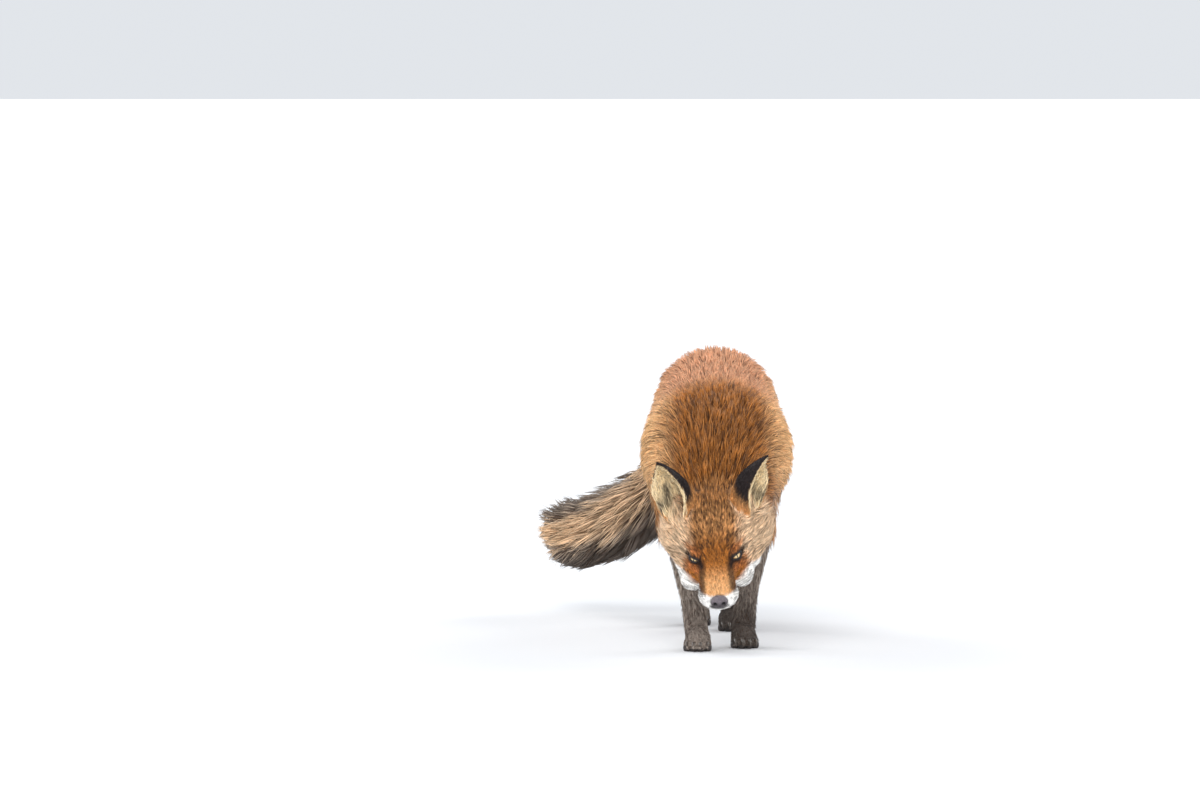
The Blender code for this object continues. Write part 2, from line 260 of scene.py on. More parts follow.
class Finish:
    def __init__(self, name, roughness=0.8, specular=0.25):
        self.material = bpy.data.materials.new(name)
        self.material.use_nodes = True
        self.tree = self.material.node_tree
        self.shader = self.tree.nodes["Principled BSDF"]
        self.set("Roughness", roughness)
        self.set("Specular IOR Level", specular)

    def feed(self, socket, value):
        if isinstance(value, Wire):
            self.tree.links.new(value.socket, socket)
        else:
            socket.default_value = value

    def node(self, kind, settings=None, inputs=None, output=0):
        made = self.tree.nodes.new(kind)
        for key, value in (settings or {}).items():
            setattr(made, key, value)
        for key, value in (inputs or {}).items():
            self.feed(made.inputs[key], value)
        return Wire(self, made.outputs[output])

    def set(self, socket, value):
        self.feed(self.shader.inputs[socket], value)

    def mix(self, share, first, second):
        return self.node("ShaderNodeMix", {"data_type": "RGBA"}, {0: share, 6: first, 7: second}, 2)

    def scaled(self, colour, amount):
        return self.node("ShaderNodeVectorMath", {"operation": "SCALE"}, {0: colour, "Scale": amount})

    def step(self, value, low, high):
        settings = {"interpolation_type": "SMOOTHSTEP"}
        return self.node("ShaderNodeMapRange", settings, {"Value": value, "From Min": low, "From Max": high})

    def channels(self, attribute):  # the four values that addMarks keeps
        colour = self.node("ShaderNodeAttribute", {"attribute_name": attribute})
        split = self.node("ShaderNodeSeparateColor", None, {0: colour})
        sockets = [*split.socket.node.outputs, colour.socket.node.outputs["Alpha"]]
        return [Wire(self, socket) for socket in sockets]

    def place(self):
        return self.node("ShaderNodeTexCoord", output=3)

    def noise(self, scale, detail=3.0):
        inputs = {"Vector": self.place(), "Scale": scale, "Detail": detail}
        return self.node("ShaderNodeTexNoise", None, inputs)

    def bump(self, height, strength, distance):
        inputs = {"Strength": strength, "Distance": distance, "Height": height}
        self.set("Normal", self.node("ShaderNodeBump", None, inputs))


print("materials")
coatColours = {  # linear colours of the hair
    "orange": (0.470, 0.168, 0.030, 1),
    # gold also stands in for painted rim light along the flanks
    "gold": (0.950, 0.580, 0.280, 1),
    "rust": (0.560, 0.190, 0.056, 1),
    "rosy": (0.790, 0.410, 0.245, 1),
    "grey": (0.950, 0.645, 0.405, 1),
    "cream": (1.000, 0.830, 0.540, 1),
    "white": (0.930, 0.910, 0.880, 1),
    "black": (0.020, 0.014, 0.014, 1),
    "brown": (0.060, 0.030, 0.018, 1),
    "under": (0.100, 0.058, 0.038, 1),
}
furLook = {
    "dimmest": 0.54,  # shade of the darkest lock
    "range": 0.84,  # how much lighter the lightest is
    "band": (0.10, 0.55, 0.80, 1.05),  # where a hair's dark band starts, is full, ends and is gone
    "tip": (0.45, 0.95),
    "tipGold": 0.45,
    "root": (0.05, 0.60),
    "rootUnder": 0.7,  # how much of the underfur's colour the root takes
    # how much darker the roots get in a deep coat: dark underfur and painted shade
    "rootDarkAndShade": 0.50,
}


def markedColour(finish):
    white, black, rust, grey = finish.channels("markings")
    cream, agouti, rosy, gold = finish.channels("tints")
    colour = finish.mix(gold, coatColours["orange"], coatColours["gold"])
    for mask, name in ((rosy, "rosy"), (grey, "grey"), (rust, "rust"), (cream, "cream"), (white, "white")):
        colour = finish.mix(mask, colour, coatColours[name])
    return finish.mix(black, colour, coatColours["black"]), agouti, white, black


def makeCoatFinish():
    finish = Finish("fur", roughness=0.65, specular=0.12)
    colour, _, white, black = markedColour(finish)
    along, shade, dark, deep = finish.channels("hair")
    colour = finish.scaled(colour, furLook["dimmest"] + shade * furLook["range"])
    start, full, end, gone = furLook["band"]
    band = finish.step(along, start, full) * (1 - finish.step(along, end, gone) * 0.6) * dark
    colour = finish.mix(band, colour, coatColours["brown"])
    pale = finish.mix(0.5, colour, coatColours["gold"])
    tip = finish.step(along, *furLook["tip"]) * shade * furLook["tipGold"]
    colour = finish.mix(tip * (1 - white) * (1 - black) * (1 - dark), colour, pale)
    root = finish.mix(deep * furLook["rootUnder"], colour, coatColours["under"])
    # roots darker still where the coat is deep: underfur colour and painted shade deep in the coat
    root = finish.scaled(root, 1 - deep * (furLook["rootDarkAndShade"] - white * 0.3))
    finish.set("Base Color", finish.mix(finish.step(along, *furLook["root"]), root, colour))
    return finish.material


def makeSkinFinish():
    finish = Finish("skin", roughness=0.75, specular=0.2)
    colour, agouti, _, _ = markedColour(finish)
    bare, wet, _, _ = finish.channels("bare")
    fleck = finish.noise(900.0, 2.0)
    colour = finish.scaled(colour, 0.62 + fleck * 0.45)
    colour = finish.mix(finish.step(fleck, 0.52, 0.62) * agouti * 0.5, colour, coatColours["brown"])
    finish.set("Base Color", finish.mix(bare, colour, (0.012, 0.009, 0.010, 1)))
    finish.set("Roughness", 0.75 - wet * 0.45)
    finish.bump(finish.noise(1400.0), 0.5, 0.0006)
    return finish.material


eyeColours = {
    "inner": (0.50, 0.30, 0.10, 1),
    "streak": (0.85, 0.66, 0.34, 1),
    "outer": (0.34, 0.15, 0.04, 1),
    "ring": (0.015, 0.010, 0.010, 1),
    "ball": (0.030, 0.018, 0.015, 1),
    "slit": (0.003, 0.003, 0.004, 1),
}


def makeEyeFinish():
    finish = Finish("eye", roughness=0.08, specular=0.5)
    finish.set("Coat Weight", 1.0)
    finish.set("Coat Roughness", 0.02)
    across, up, ring, _ = finish.channels("iris")
    slit = finish.step(across, 0.15, 0.09) * finish.step(up, 0.62, 0.50)
    colour = finish.mix(finish.noise(700.0, 2.0), eyeColours["inner"], eyeColours["streak"])
    for low, high, name in ((0.30, 0.95, "outer"), (0.88, 1.04, "ring"), (1.02, 1.35, "ball")):
        colour = finish.mix(finish.step(ring, low, high), colour, eyeColours[name])
    finish.set("Base Color", finish.mix(slit, colour, eyeColours["slit"]))
    return finish.material


noseColours = {
    "creaseShade": (0.035, 0.028, 0.032, 1),
    "leather": (0.070, 0.056, 0.062, 1),
    # top: the lighter lilac grey on the top of the pad is a painted sheen
    "top": (0.230, 0.190, 0.210, 1),
    "nostril": (0.003, 0.003, 0.003, 1),
}


def makeNoseFinish():
    finish = Finish("nose leather", roughness=0.38, specular=0.45)
    inputs = {"Vector": finish.place(), "Scale": 1900.0}
    cells = finish.node("ShaderNodeTexVoronoi", {"feature": "DISTANCE_TO_EDGE"}, inputs)
    pebble = finish.step(cells, 0.0, 0.25)
    hollow, pale, _, _ = finish.channels("nostril")
    # lighter towards the top of the pad: a painted sheen
    leather = finish.mix(pale, noseColours["leather"], noseColours["top"])
    # darker in the creases between the pebbles: painted shade
    leather = finish.mix(pebble, noseColours["creaseShade"], leather)
    finish.set("Base Color", finish.mix(hollow, leather, noseColours["nostril"]))
    finish.set("Roughness", 0.30 + finish.noise(300.0) * 0.25)
    finish.bump(pebble, 0.6, 0.0004)
    return finish.material


def makeHornFinish(name, dark, light, roughness):
    finish = Finish(name, roughness=roughness, specular=0.35)
    finish.set("Base Color", finish.mix(finish.noise(400.0), dark, light))
    finish.set("Roughness", roughness - 0.1 + finish.noise(250.0) * 0.2)
    finish.bump(finish.noise(900.0), 0.4, 0.0003)
    return finish.material


finishes = {
    "fur": makeCoatFinish(),
    "skin": makeSkinFinish(),
    "eye": makeEyeFinish(),
    "nose": makeNoseFinish(),
    "rim": makeHornFinish("eyelid rim", (0.006, 0.005, 0.006, 1), (0.020, 0.015, 0.015, 1), 0.55),
    "claw": makeHornFinish("claw horn", (0.025, 0.020, 0.017, 1), (0.110, 0.085, 0.065, 1), 0.4),
    "pad": makeHornFinish("paw leather", (0.020, 0.017, 0.017, 1), (0.060, 0.048, 0.045, 1), 0.7),
    "whisker": makeHornFinish("whisker", (0.010, 0.008, 0.008, 1), (0.040, 0.030, 0.025, 1), 0.5),
}


eyes = {-1: "eye_right", 1: "eye_left"}
ears = {-1: "ear_right", 1: "ear_left"}

# the body's lines, used for the lie of the coat
tailLine = bodyLine(
    (0.008, 0.330, 0.318), (0.002, 0.384, 0.288), (-0.018, 0.428, 0.232), (-0.050, 0.460, 0.174),
    (-0.098, 0.488, 0.131), (-0.142, 0.524, 0.107), (-0.173, 0.565, 0.101), (-0.187, 0.606, 0.103),
    (-0.190, 0.642, 0.108),
)
legLines = {
    "foreleg_right": bodyLine(
        (-0.062, 0.010, 0.215), (-0.052, 0.010, 0.180), (-0.044, -0.004, 0.140),
        (-0.027, -0.031, 0.066), (-0.020, -0.062, 0.012), (-0.019, -0.09, 0.004),
    ),
    "foreleg_left": bodyLine(
        (0.068, 0.022, 0.215), (0.057, 0.030, 0.180), (0.055, 0.024, 0.140), (0.0425, 0.012, 0.070),
        (0.0385, -0.014, 0.012), (0.0385, -0.045, 0.004),
    ),
    "hindleg_left": bodyLine(
        (0.075, 0.298, 0.260), (0.062, 0.275, 0.205), (0.042, 0.294, 0.132), (0.035, 0.311, 0.104),
        (0.030, 0.290, 0.036), (0.027, 0.262, 0.010), (0.027, 0.235, 0.004),
    ),
    "hindleg_right": bodyLine(
        (-0.060, 0.318, 0.260), (-0.047, 0.306, 0.205), (-0.028, 0.350, 0.136), (-0.022, 0.376, 0.112),
        (-0.015, 0.379, 0.048), (-0.014, 0.358, 0.010), (-0.014, 0.332, 0.004),
    ),
}
earShape = {"length": 0.088, "rootIn": 0.0355, "facing": {-1: 32, 1: 58}, "lean": {-1: -0.22, 1: 0.33}}


def earFrame(side):  # root, axis, way the opening looks, way across, as the figure's ears stand
    axis = headWay(earShape["lean"][side], 0.03, 0.94)
    facing = radians(earShape["facing"][side])
    out = headWay(side * sin(facing), -cos(facing), 0)
    out = unit(out - axis * (out @ axis))
    return headPoint(side * earShape["rootIn"], 0.048, 0.014), axis, out, np.cross(axis, out)


eyeSettings = {  # opening of each eye: half width, upper lid, lower lid, slant in degrees
    -1: {"half": 0.0084, "upper": 0.0020, "lower": 0.0024, "slant": 6},
    1: {"half": 0.0086, "upper": 0.0034, "lower": 0.0030, "slant": 5},
    "rimOut": 0.0007,
    "lidOut": 0.0011,
    "lidIn": 0.0022,
    "foldOut": 0.0009,
}


def eyeFrame(side):  # centre, way the opening looks, way to the outer corner, way up
    look = headWay(side * 0.62, -0.72, 0.30)
    corner = headWay(side * 0.737, 0.671, 0.089)
    corner = unit(corner - look * (corner @ look))
    up = np.cross(look, corner) * side
    slant = radians(eyeSettings[side]["slant"])
    corner, up = corner * cos(slant) - up * sin(slant), up * cos(slant) + corner * sin(slant)
    return np.array(middleOf(eyes[side])), look, corner, up


def eyeRadius(name):
    low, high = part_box(name)
    return min(high - low) / 2


def fromEye(points, side):  # outwards to the corner, up, along the look, and the distance
    centre, look, corner, up = eyeFrame(side)
    offset = points - centre
    return offset @ corner, offset @ up, offset @ look, np.linalg.norm(offset, axis=1)


def lidHeights(side, a):
    size = eyeSettings[side]
    arch = np.clip(1 - (a / size["half"]) ** 2, 0, 1) ** 0.75
    return size["upper"] * arch, -size["lower"] * arch


def lidGap(side, a, b, spare=0.0):  # how far outside the opening, below zero inside it
    upper, lower = lidHeights(side, a)
    return np.maximum(np.maximum(b - upper, lower - b), np.abs(a) - eyeSettings[side]["half"] - spare)


def lipHeight(y):  # the line of the mouth
    return -0.0215 + 0.10 * np.clip(y + 0.070, 0, 1) ** 1.5 - 0.004 * ramp(y, -0.045, -0.020)


def lieLines():  # straight lengths that the hair runs along, each with how strongly it is felt
    lines = []

    def run(points, pull=1.0):
        lines.extend((a, b, pull) for a, b in zip(points, points[1:]))

    nape = headPoint(0, 0.09, 0.035)
    back = bodyLine((0.003, -0.075, 0.285), (0.005, 0.02, 0.326), (0.007, 0.16, 0.341))
    back += bodyLine((0.008, 0.28, 0.362), (0.008, 0.35, 0.345))
    run([*headLine((0, -0.075, 0.0), (0, -0.02, 0.012), (0, 0.03, 0.045)), nape], 1.2)
    run([nape, *back])
    run([back[-1], *tailLine[1:]], 1.5)
    for side in (-1, 1):
        run(headLine((0.008, -0.065, 0.0), (0.020, 0.0, 0.018), (0.034, 0.05, 0.030), side=side))
        run(headLine((0.016, -0.068, -0.016), (0.028, -0.02, -0.014), (0.070, 0.050, -0.008), side=side))
        run(headLine((0.012, -0.062, -0.028), (0.034, 0.0, -0.046), (0.052, 0.050, -0.050), side=side))
        run(bodyLine((0.070, -0.13, 0.18), (0.085, -0.03, 0.22), (0.092, 0.09, 0.225), side=side))
        run(bodyLine((0.092, 0.09, 0.225), (0.085, 0.22, 0.265), (0.070, 0.34, 0.270), side=side))
        run(bodyLine((0.045, 0.05, 0.155), (0.045, 0.20, 0.180), side=side), 0.7)
    run([*headLine((0, -0.06, -0.035), (0, 0.03, -0.055)), *bodyLine((0, -0.07, 0.15), (0, 0.0, 0.146))])
    run(bodyLine((0.005, 0.0, 0.146), (0.007, 0.16, 0.160), (0.008, 0.26, 0.200)), 0.8)
    for leg in legLines.values():
        run(leg, 1.4)
    return lines


lieOfCoat = lieLines()


def flowAt(points):
    total = np.zeros_like(points)
    for start, end, pull in lieOfCoat:
        distance, _ = toLine(points, start, end)
        total += (pull / (distance + 0.004) ** 4)[:, None] * unit(end - start)
    return unit(total)


print("skin")
trunkParts = ("neck", "shoulders", "loins", "hips")
tailParts = ("tail_root", "tail_brush", "tail_tip")
limbs = ("foreleg", "forepaw", "hindleg", "hindpaw")
limbParts = [limb + side for limb in limbs for side in ("_left", "_right")]
fleshNodes = ["head", *trunkParts, *tailParts, *limbParts, "ear_left", "ear_right"]
skinSettings = {
    "voxel": 0.0019,
    "triangles": 150000,
    "growth": 0.0004,  # closes the thin cuts between the parts
    "lidCover": 0.0012,  # closes the sockets round the eyes
    "depth": {  # how far the skin lies inside the tips of the coat
        "neck": 0.0130,
        "shoulders": 0.0125,
        "loins": 0.0120,
        "hips": 0.0115,
        "tail_root": 0.0150,
        "tail_brush": 0.0230,
        "tail_tip": 0.0200,
        "foreleg": 0.0038,
        "forepaw": 0.0020,
        "hindleg": 0.0042,
        "hindpaw": 0.0020,
        "ear": 0.0009,
        "head": 0.0015,  # at the nose, more towards the neck
    },
}


def isPart(nodes, *names):
    return np.isin(nodes, [fleshNodes.index(name) for name in names])


def perPart(settings, nodes):  # the setting of each point's own part, which both sides of a limb share
    keys = [name if name in settings else name.split("_")[0] for name in fleshNodes]
    return np.array([settings[key] for key in keys])[nodes]


def joinedFlesh():
    whole = bmesh.new()
    for name in fleshNodes:
        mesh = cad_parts[name].data.copy()
        part = bmesh.new()
        part.from_mesh(mesh)
        bmesh.ops.remove_doubles(part, verts=part.verts, dist=1e-6)
        part.normal_update()
        for vert in part.verts:
            vert.co += vert.normal * skinSettings["growth"]
        part.to_mesh(mesh)
        part.free()
        whole.from_mesh(mesh)
        bpy.data.meshes.remove(mesh)
    for name in eyes.values():
        radius = eyeRadius(name) + skinSettings["lidCover"]
        made = bmesh.ops.create_icosphere(whole, subdivisions=4, radius=radius)["verts"]
        bmesh.ops.translate(whole, verts=made, vec=middleOf(name))
    skin = newObject("skin", meshFrom(whole, "skin"))
    fuse = skin.modifiers.new("fuse", "REMESH")
    fuse.mode = "VOXEL"
    fuse.voxel_size = skinSettings["voxel"]
    settle(skin)
    return skin


def smoothAndThin(skin):  # the ears and the face keep more of their shape and points
    points = pointsOf(skin.data)
    web = Web(skin.data)
    local = inHead(points)
    isEar = (local[:, 2] > 0.045) & (local[:, 1] < 0.12)
    soft = web.spread(points, 10)
    slight = web.spread(points, 3)
    coarse = ramp(local[:, 1], 0.03, 0.09) * (1 - isEar)
    points = slight + (soft - slight) * coarse[:, None]
    setPoints(skin.data, points)
    weight = np.where((local[:, 1] < 0.06) & (points[:, 2] > 0.05), 0.35, 1.0)
    group = skin.vertex_groups.new(name="plain")
    for level in (0.35, 1.0):
        group.add(np.nonzero(weight == level)[0].tolist(), level, "REPLACE")
    thin = skin.modifiers.new("thin", "DECIMATE")
    thin.ratio = skinSettings["triangles"] / (len(skin.data.polygons) * 2)
    thin.vertex_group = "plain"
    settle(skin)
    skin.vertex_groups.clear()


def refineFace(skin):  # more points round the eyes
    bm = bmesh.new()
    bm.from_mesh(skin.data)
    bmesh.ops.triangulate(bm, faces=bm.faces)
    centres = [Vector(eyeFrame(side)[0]) for side in eyes]
    for reach in (0.017, 0.014):
        near = {v for v in bm.verts if min((v.co - c).length for c in centres) < reach}
        edges = [e for e in bm.edges if e.verts[0] in near and e.verts[1] in near]
        bmesh.ops.subdivide_edges(bm, edges=edges, cuts=1, use_grid_fill=True)
        bmesh.ops.triangulate(bm, faces=bm.faces)
    bm.to_mesh(skin.data)
    bm.free()


def nearestNodes(points):
    verts, faces, owner = [], [], []
    for index, name in enumerate(fleshNodes):
        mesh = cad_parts[name].data
        start = len(verts)
        verts.extend(v.co[:] for v in mesh.vertices)
        faces.extend([start + i for i in p.vertices] for p in mesh.polygons)
        owner.extend([index] * len(mesh.polygons))
    tree = BVHTree.FromPolygons(verts, faces)
    return np.array([owner[tree.find_nearest(p)[2]] for p in points.tolist()])


def coatDepth(points, nodes, web):
    isHead, isEar = isPart(nodes, "head"), isPart(nodes, *ears.values())
    x, y, z = inHead(points).T
    face = skinSettings["depth"]["head"] + 0.0065 * ramp(y, -0.035, 0.07)
    face += 0.0060 * ramp(np.abs(x), 0.030, 0.062) * ramp(y, -0.005, 0.04)
    face += 0.0050 * ramp(-z, 0.022, 0.050) * ramp(y, -0.030, 0.025)
    depth = np.where(isHead, face, perPart(skinSettings["depth"], nodes))
    depth = web.spread(depth, 40)
    depth = np.where(isEar, np.minimum(depth, 0.0012), depth)
    return np.where(isHead & (y < -0.02), face, depth)


def drawIn(skin, depth, web, steps=8):
    mesh = skin.data
    points = pointsOf(mesh)
    share = (0.5 * ramp(depth, 0.0015, 0.010))[:, None]
    for _ in range(steps):
        normals = unit(web.spread(normalsOf(mesh), 2))
        points = points - normals * depth[:, None] / steps
        for _ in range(2):
            points = points + share * (web.mean(points) - points)
        setPoints(mesh, points)
    return points


def shapeFace(points):  # lids over the eyes, the line of the mouth, a fold above the eye
    radius = eyeRadius("eye_left")
    for side in eyes:
        centre, look, _, _ = eyeFrame(side)
        a, b, c, far = fromEye(points, side)
        near = far < radius + 0.006
        inside = (lidGap(side, a, b) < 0) & (c > 0) & near
        lid = (~inside) & (c > -0.002) & (far < radius + eyeSettings["lidOut"])
        way = (points - centre) / np.maximum(far, 1e-9)[:, None]
        points = np.where(lid[:, None], centre + way * (radius + eyeSettings["lidOut"]), points)
        points = np.where(inside[:, None], centre + way * (radius - eyeSettings["lidIn"]), points)
        upper, _ = lidHeights(side, a)
        fold = ridge(b - upper, 0.0042, 0.0016) * fade(np.abs(a), 0.011, 0.006) * (c > 0) * near
        points = points + look * (fold * eyeSettings["foldOut"])[:, None]
    local = inHead(points)
    _, y, z = local.T
    groove = ridge(z, lipHeight(y), 0.0012) * ramp(-y, 0.018, 0.030) * (z < -0.005)
    outward = unit(local * np.array([1.0, 0.15, 0.4]))
    return points - (outward * (groove * 0.0012)[:, None]) @ headAxes.T


def noHair(points, nodes):  # bare places: lids, the line of the lips, behind the nose pad, under the feet
    isHead = isPart(nodes, "head")
    bare = np.zeros(len(points))
    for side in eyes:
        a, b, c, far = fromEye(points, side)
        bare = np.maximum(bare, fade(lidGap(side, a, b), 0.0022, 0.0009) * (c > 0) * (far < 0.016))
    _, y, z = inHead(points).T
    bare = np.maximum(bare, ramp(-y, 0.0755, 0.078) * isHead)
    line = ridge(z, lipHeight(y), 0.0011) * ramp(-y, 0.018, 0.030) * isHead * (z < -0.005)
    bare = np.maximum(bare, line)
    return np.maximum(bare, fade(points[:, 2], 0.0045, 0.0025))


faceSettings = {  # places in the head, in metres, mirrored to its other side
    "whiteEdge": (  # upper edge of the white, from the nose back: along and height
        (-0.080, -0.0045), (-0.069, -0.0070), (-0.061, -0.0105), (-0.050, -0.0140), (-0.042, -0.0175),
        (-0.036, -0.0220), (-0.031, -0.0270), (-0.028, -0.0245), (-0.022, -0.0222), (-0.015, -0.0225),
        (-0.008, -0.0245), (0.010, -0.0320), (0.040, -0.0415), (0.080, -0.0460),
    ),
    "rust": (  # below and above the eye: both ends, where it ends and is full, strength
        ((0.0235, -0.026, -0.0085), (0.0350, -0.0095, -0.0150), 0.0105, 0.0035, 0.95),
        ((0.0210, -0.0135, 0.0085), (0.0340, -0.0015, 0.0085), 0.0075, 0.0025, 0.80),
    ),
    "tear": (0.0172, -0.0290, -0.0012),  # where the dark line from the eye's inner corner reaches the muzzle
    "muzzleLine": ((0.0176, -0.0370, -0.0040), (0.0184, -0.0450, -0.0082), (0.0180, -0.0570, -0.0100)),
    "muzzleShift": (0.0010, 0.0014, 0.0014),
    "darkPatches": (  # over the eye and between the eyes: middle, reach, strength
        # the two patches over each eye darken where the brow furrows: painted shade of the furrows
        ((0.0180, -0.010, 0.0125), 0.0050, 0.80),
        ((0.0200, -0.001, 0.0170), 0.0045, 0.55),
        ((0, -0.016, 0.010), 0.016, 0.16),
    ),
    "earRoot": ((0.047, 0.042, 0.018), 0.013, 0.75),  # pale hair in front of the ear
}


def markFace(points):
    local = inHead(points)
    x, y, z = np.abs(local[:, 0]), local[:, 1], local[:, 2]
    white = ramp(np.interp(y, *zip(*faceSettings["whiteEdge"])) - z, -0.0012, 0.0022)
    side = ramp(x, 0.020, 0.036) * ramp(y, -0.018, 0.002) * ramp(-y, -0.075, -0.050)
    agouti = ramp(y, -0.036, -0.012) * (1 - 0.65 * side) * (1 - white)
    crown = 0.36 * ramp(y, -0.012, 0.010) * (1 - 0.5 * ramp(y, 0.020, 0.050))
    bridge = ramp(-y, 0.026, 0.050) * ramp(z, -0.014, -0.004)
    gold = crown + 0.40 * bridge + 0.28 * bridge * ramp(-y, 0.045, 0.060)
    grey = 0.85 * side * (1 - white)
    white = np.maximum(white, 0.10 * side)
    cream = 0.22 * side
    rust, darks = np.zeros(len(points)), [np.zeros(len(points))]
    for hand in eyes:
        for start, end, none, full, strength in faceSettings["rust"]:
            distance, _ = toLine(points, *headLine(start, end, side=hand))
            rust = np.maximum(rust, strength * fade(distance, none, full))
        centre, look, corner, _ = eyeFrame(hand)
        tear = [centre + look * 0.0080 - corner * 0.0075, *headLine(faceSettings["tear"], side=hand)]
        darks.append(0.96 * fade(nearRoute(points, tear), 0.0052, 0.0020))
        for (out, along, height), shift in zip(faceSettings["muzzleLine"], faceSettings["muzzleShift"]):
            tear.append(headPoint(hand * out - shift, along, height))
        darks.append(0.72 * fade(nearRoute(points, tear), 0.0084, 0.0032))
        stripe, _ = toLine(points, centre + look * 0.006 + corner * 0.010, centre + corner * 0.021)
        darks.append(0.60 * fade(stripe, 0.0032, 0.0010))
        # the patches over the eye are painted shade of the brow furrows
        for middle, reach, strength in faceSettings["darkPatches"]:
            darks.append(strength * blob(points, *headLine(middle, side=hand), reach))
        a, b, c, far = fromEye(points, hand)
        thick = 0.0012 * ramp(-b, -0.001, 0.002) + 0.0010 * ramp(-a, -0.002, 0.006)  # below, and by the nose
        ring = ramp(thick - lidGap(hand, a, b, 0.001), -0.0040, -0.0014) * (c > 0) * (far < 0.018)
        darks.append(0.96 * ring)
        middle, reach, strength = faceSettings["earRoot"]
        cream = np.maximum(cream, strength * blob(points, *headLine(middle, side=hand), reach))
    white = white * (1 - ramp(rust, 0.3, 0.8))
    marks = {"white": white, "black": np.max(darks, axis=0), "rust": rust, "grey": grey}
    return {**marks, "cream": cream, "agouti": agouti, "gold": gold}


def markEar(points, normals, side):
    root, axis, out, across = earFrame(side)
    offset = points - root
    share = offset @ axis / (earShape["length"] + 0.016)
    radial = offset - np.outer(offset @ axis, axis)
    outer = ramp((normals * unit(radial)).sum(axis=1), 0.10, 0.45)
    outer = np.maximum(outer, ramp(share, 0.76, 0.84) * ramp(-(normals @ out), -0.35, 0.05))
    dark = outer * ramp(share, 0.22, 0.42)
    tip = ramp(share, 0.90, 0.95)
    # a dark slit in the ear's opening: dark grey hair there, with the canal's shadow painted in
    canalHairAndShadow = ridge(offset @ across, side * 0.0160, 0.0022) * ramp(share, 0.06, 0.13) * fade(share, 0.42, 0.33)
    return {
        "black": np.maximum(dark, np.maximum(0.92 * canalHairAndShadow * (1 - outer), 0.9 * tip)),
        "cream": (1 - outer) * 0.95 * (1 - tip),
        "agouti": 0.04 * (1 - dark),
    }


def markTrunk(points, normals):
    x, y, z = (points - np.array(figureZero)).T
    below = ramp(-normals[:, 2], 0.30, 0.75) * fade(y, 0.26, 0.20)
    bib = fade(z, 0.200, 0.165) * ramp(-y, -0.03, 0.03) * fade(np.abs(x), 0.070, 0.040)
    # paler gold along the flanks: the coat's paler sides, with rim light painted in as well
    flankAndRimLight = ramp(np.abs(x - 0.006), 0.036, 0.066) * ramp(z, 0.18, 0.23)
    gold = np.maximum(flankAndRimLight, 0.14 * ramp(y, 0.00, 0.06))
    saddle = 0.20 * ramp(-y, 0.00, 0.06) * ramp(z, 0.14, 0.20)
    return {
        "white": np.maximum(below * 0.75 * ramp(z, 0.10, 0.14), bib),
        "grey": 0.45 * ramp(np.abs(x), 0.050, 0.090) * fade(z, 0.26, 0.17) * ramp(z, 0.10, 0.15),
        "rosy": 0.85 * ramp(y, 0.00, 0.12) * ramp(z, 0.20, 0.30) * (1 - 0.5 * gold),
        "gold": gold,
        "agouti": 0.90 * ramp(-y, -0.07, 0.01) * (1 - 0.8 * gold),
        "black": saddle * (1 - gold),
    }


def markLegs(points, normals, trunk):  # dark stockings, grizzled where they end
    x, y, z = (points - np.array(figureZero)).T
    fore = y < 0.15
    stocking = np.where(fore, fade(z, 0.175, 0.115), fade(z, 0.130, 0.075))
    foot = np.where(fore, fade(z, 0.085, 0.030), fade(z, 0.070, 0.030))
    front = np.where(fore, 1.0, ramp(-normals[:, 1], -0.2, 0.5) * fade(z, 0.19, 0.12))
    dark = stocking * (0.60 + 0.28 * foot) * (1 - 0.24 * (x < 0.01))
    return {
        "black": np.maximum(dark, front * 0.3 * fade(z, 0.18, 0.14)),
        "grey": np.maximum(trunk["grey"], stocking * 0.85),
        "white": np.maximum(trunk["white"] * (1 - stocking), 0.55 * stocking),
    }


def alongTail(points):  # height over the tail's middle from -1 to 1, and the run from root to end
    number, share, nearest = nearestLength(points, tailLine)
    line = np.array(tailLine)
    start, end = line[number], line[number + 1]
    spot = start + share[:, None] * (end - start)
    return (points - spot)[:, 2] / np.maximum(nearest, 1e-6), (number + share) / (len(line) - 1)


def markBrush(height, run):  # dark above and below, pale between and at the end
    swung = ramp(run, 0.12, 0.32)
    dark = np.maximum(ramp(-height, 0.05, 0.50), 0.90 * ramp(height, 0.38, 0.74)) * swung
    dark = np.maximum(dark, 0.13 * swung * fade(run, 0.66, 0.50))
    pale = ramp(run, 0.86, 0.93)
    return {
        "black": dark * (1 - 0.5 * pale) * 0.86,
        "white": np.maximum(pale * 0.6, 0.45 * dark),
        "grey": 0.75 * swung * (1 - pale),
        "gold": 0.30 * swung,
        "cream": 0.18 * swung * (1 - pale),
        "agouti": 1.0 - 0.5 * pale,
    }


markNames = ("white", "black", "rust", "grey")
tintNames = ("cream", "agouti", "rosy", "gold")


def markingsAt(points, normals, nodes, tailHeight, tailRun):
    marks = {name: np.zeros(len(points)) for name in markNames + tintNames}

    def lay(found, *parts):
        where = isPart(nodes, *parts)
        for name, values in found.items():
            marks[name] = np.where(where, values, marks[name])

    face = markFace(points)
    lay(face, "head")
    for side, name in ears.items():
        lay({"gold": face["gold"], **markEar(points, normals, side)}, name)
    trunk = markTrunk(points, normals)
    lay(trunk, *trunkParts, *limbParts)
    lay(markLegs(points, normals, trunk), *limbParts)
    lay(markBrush(tailHeight, tailRun), *tailParts)
    return (np.stack([marks[name] for name in names], axis=1) for names in (markNames, tintNames))


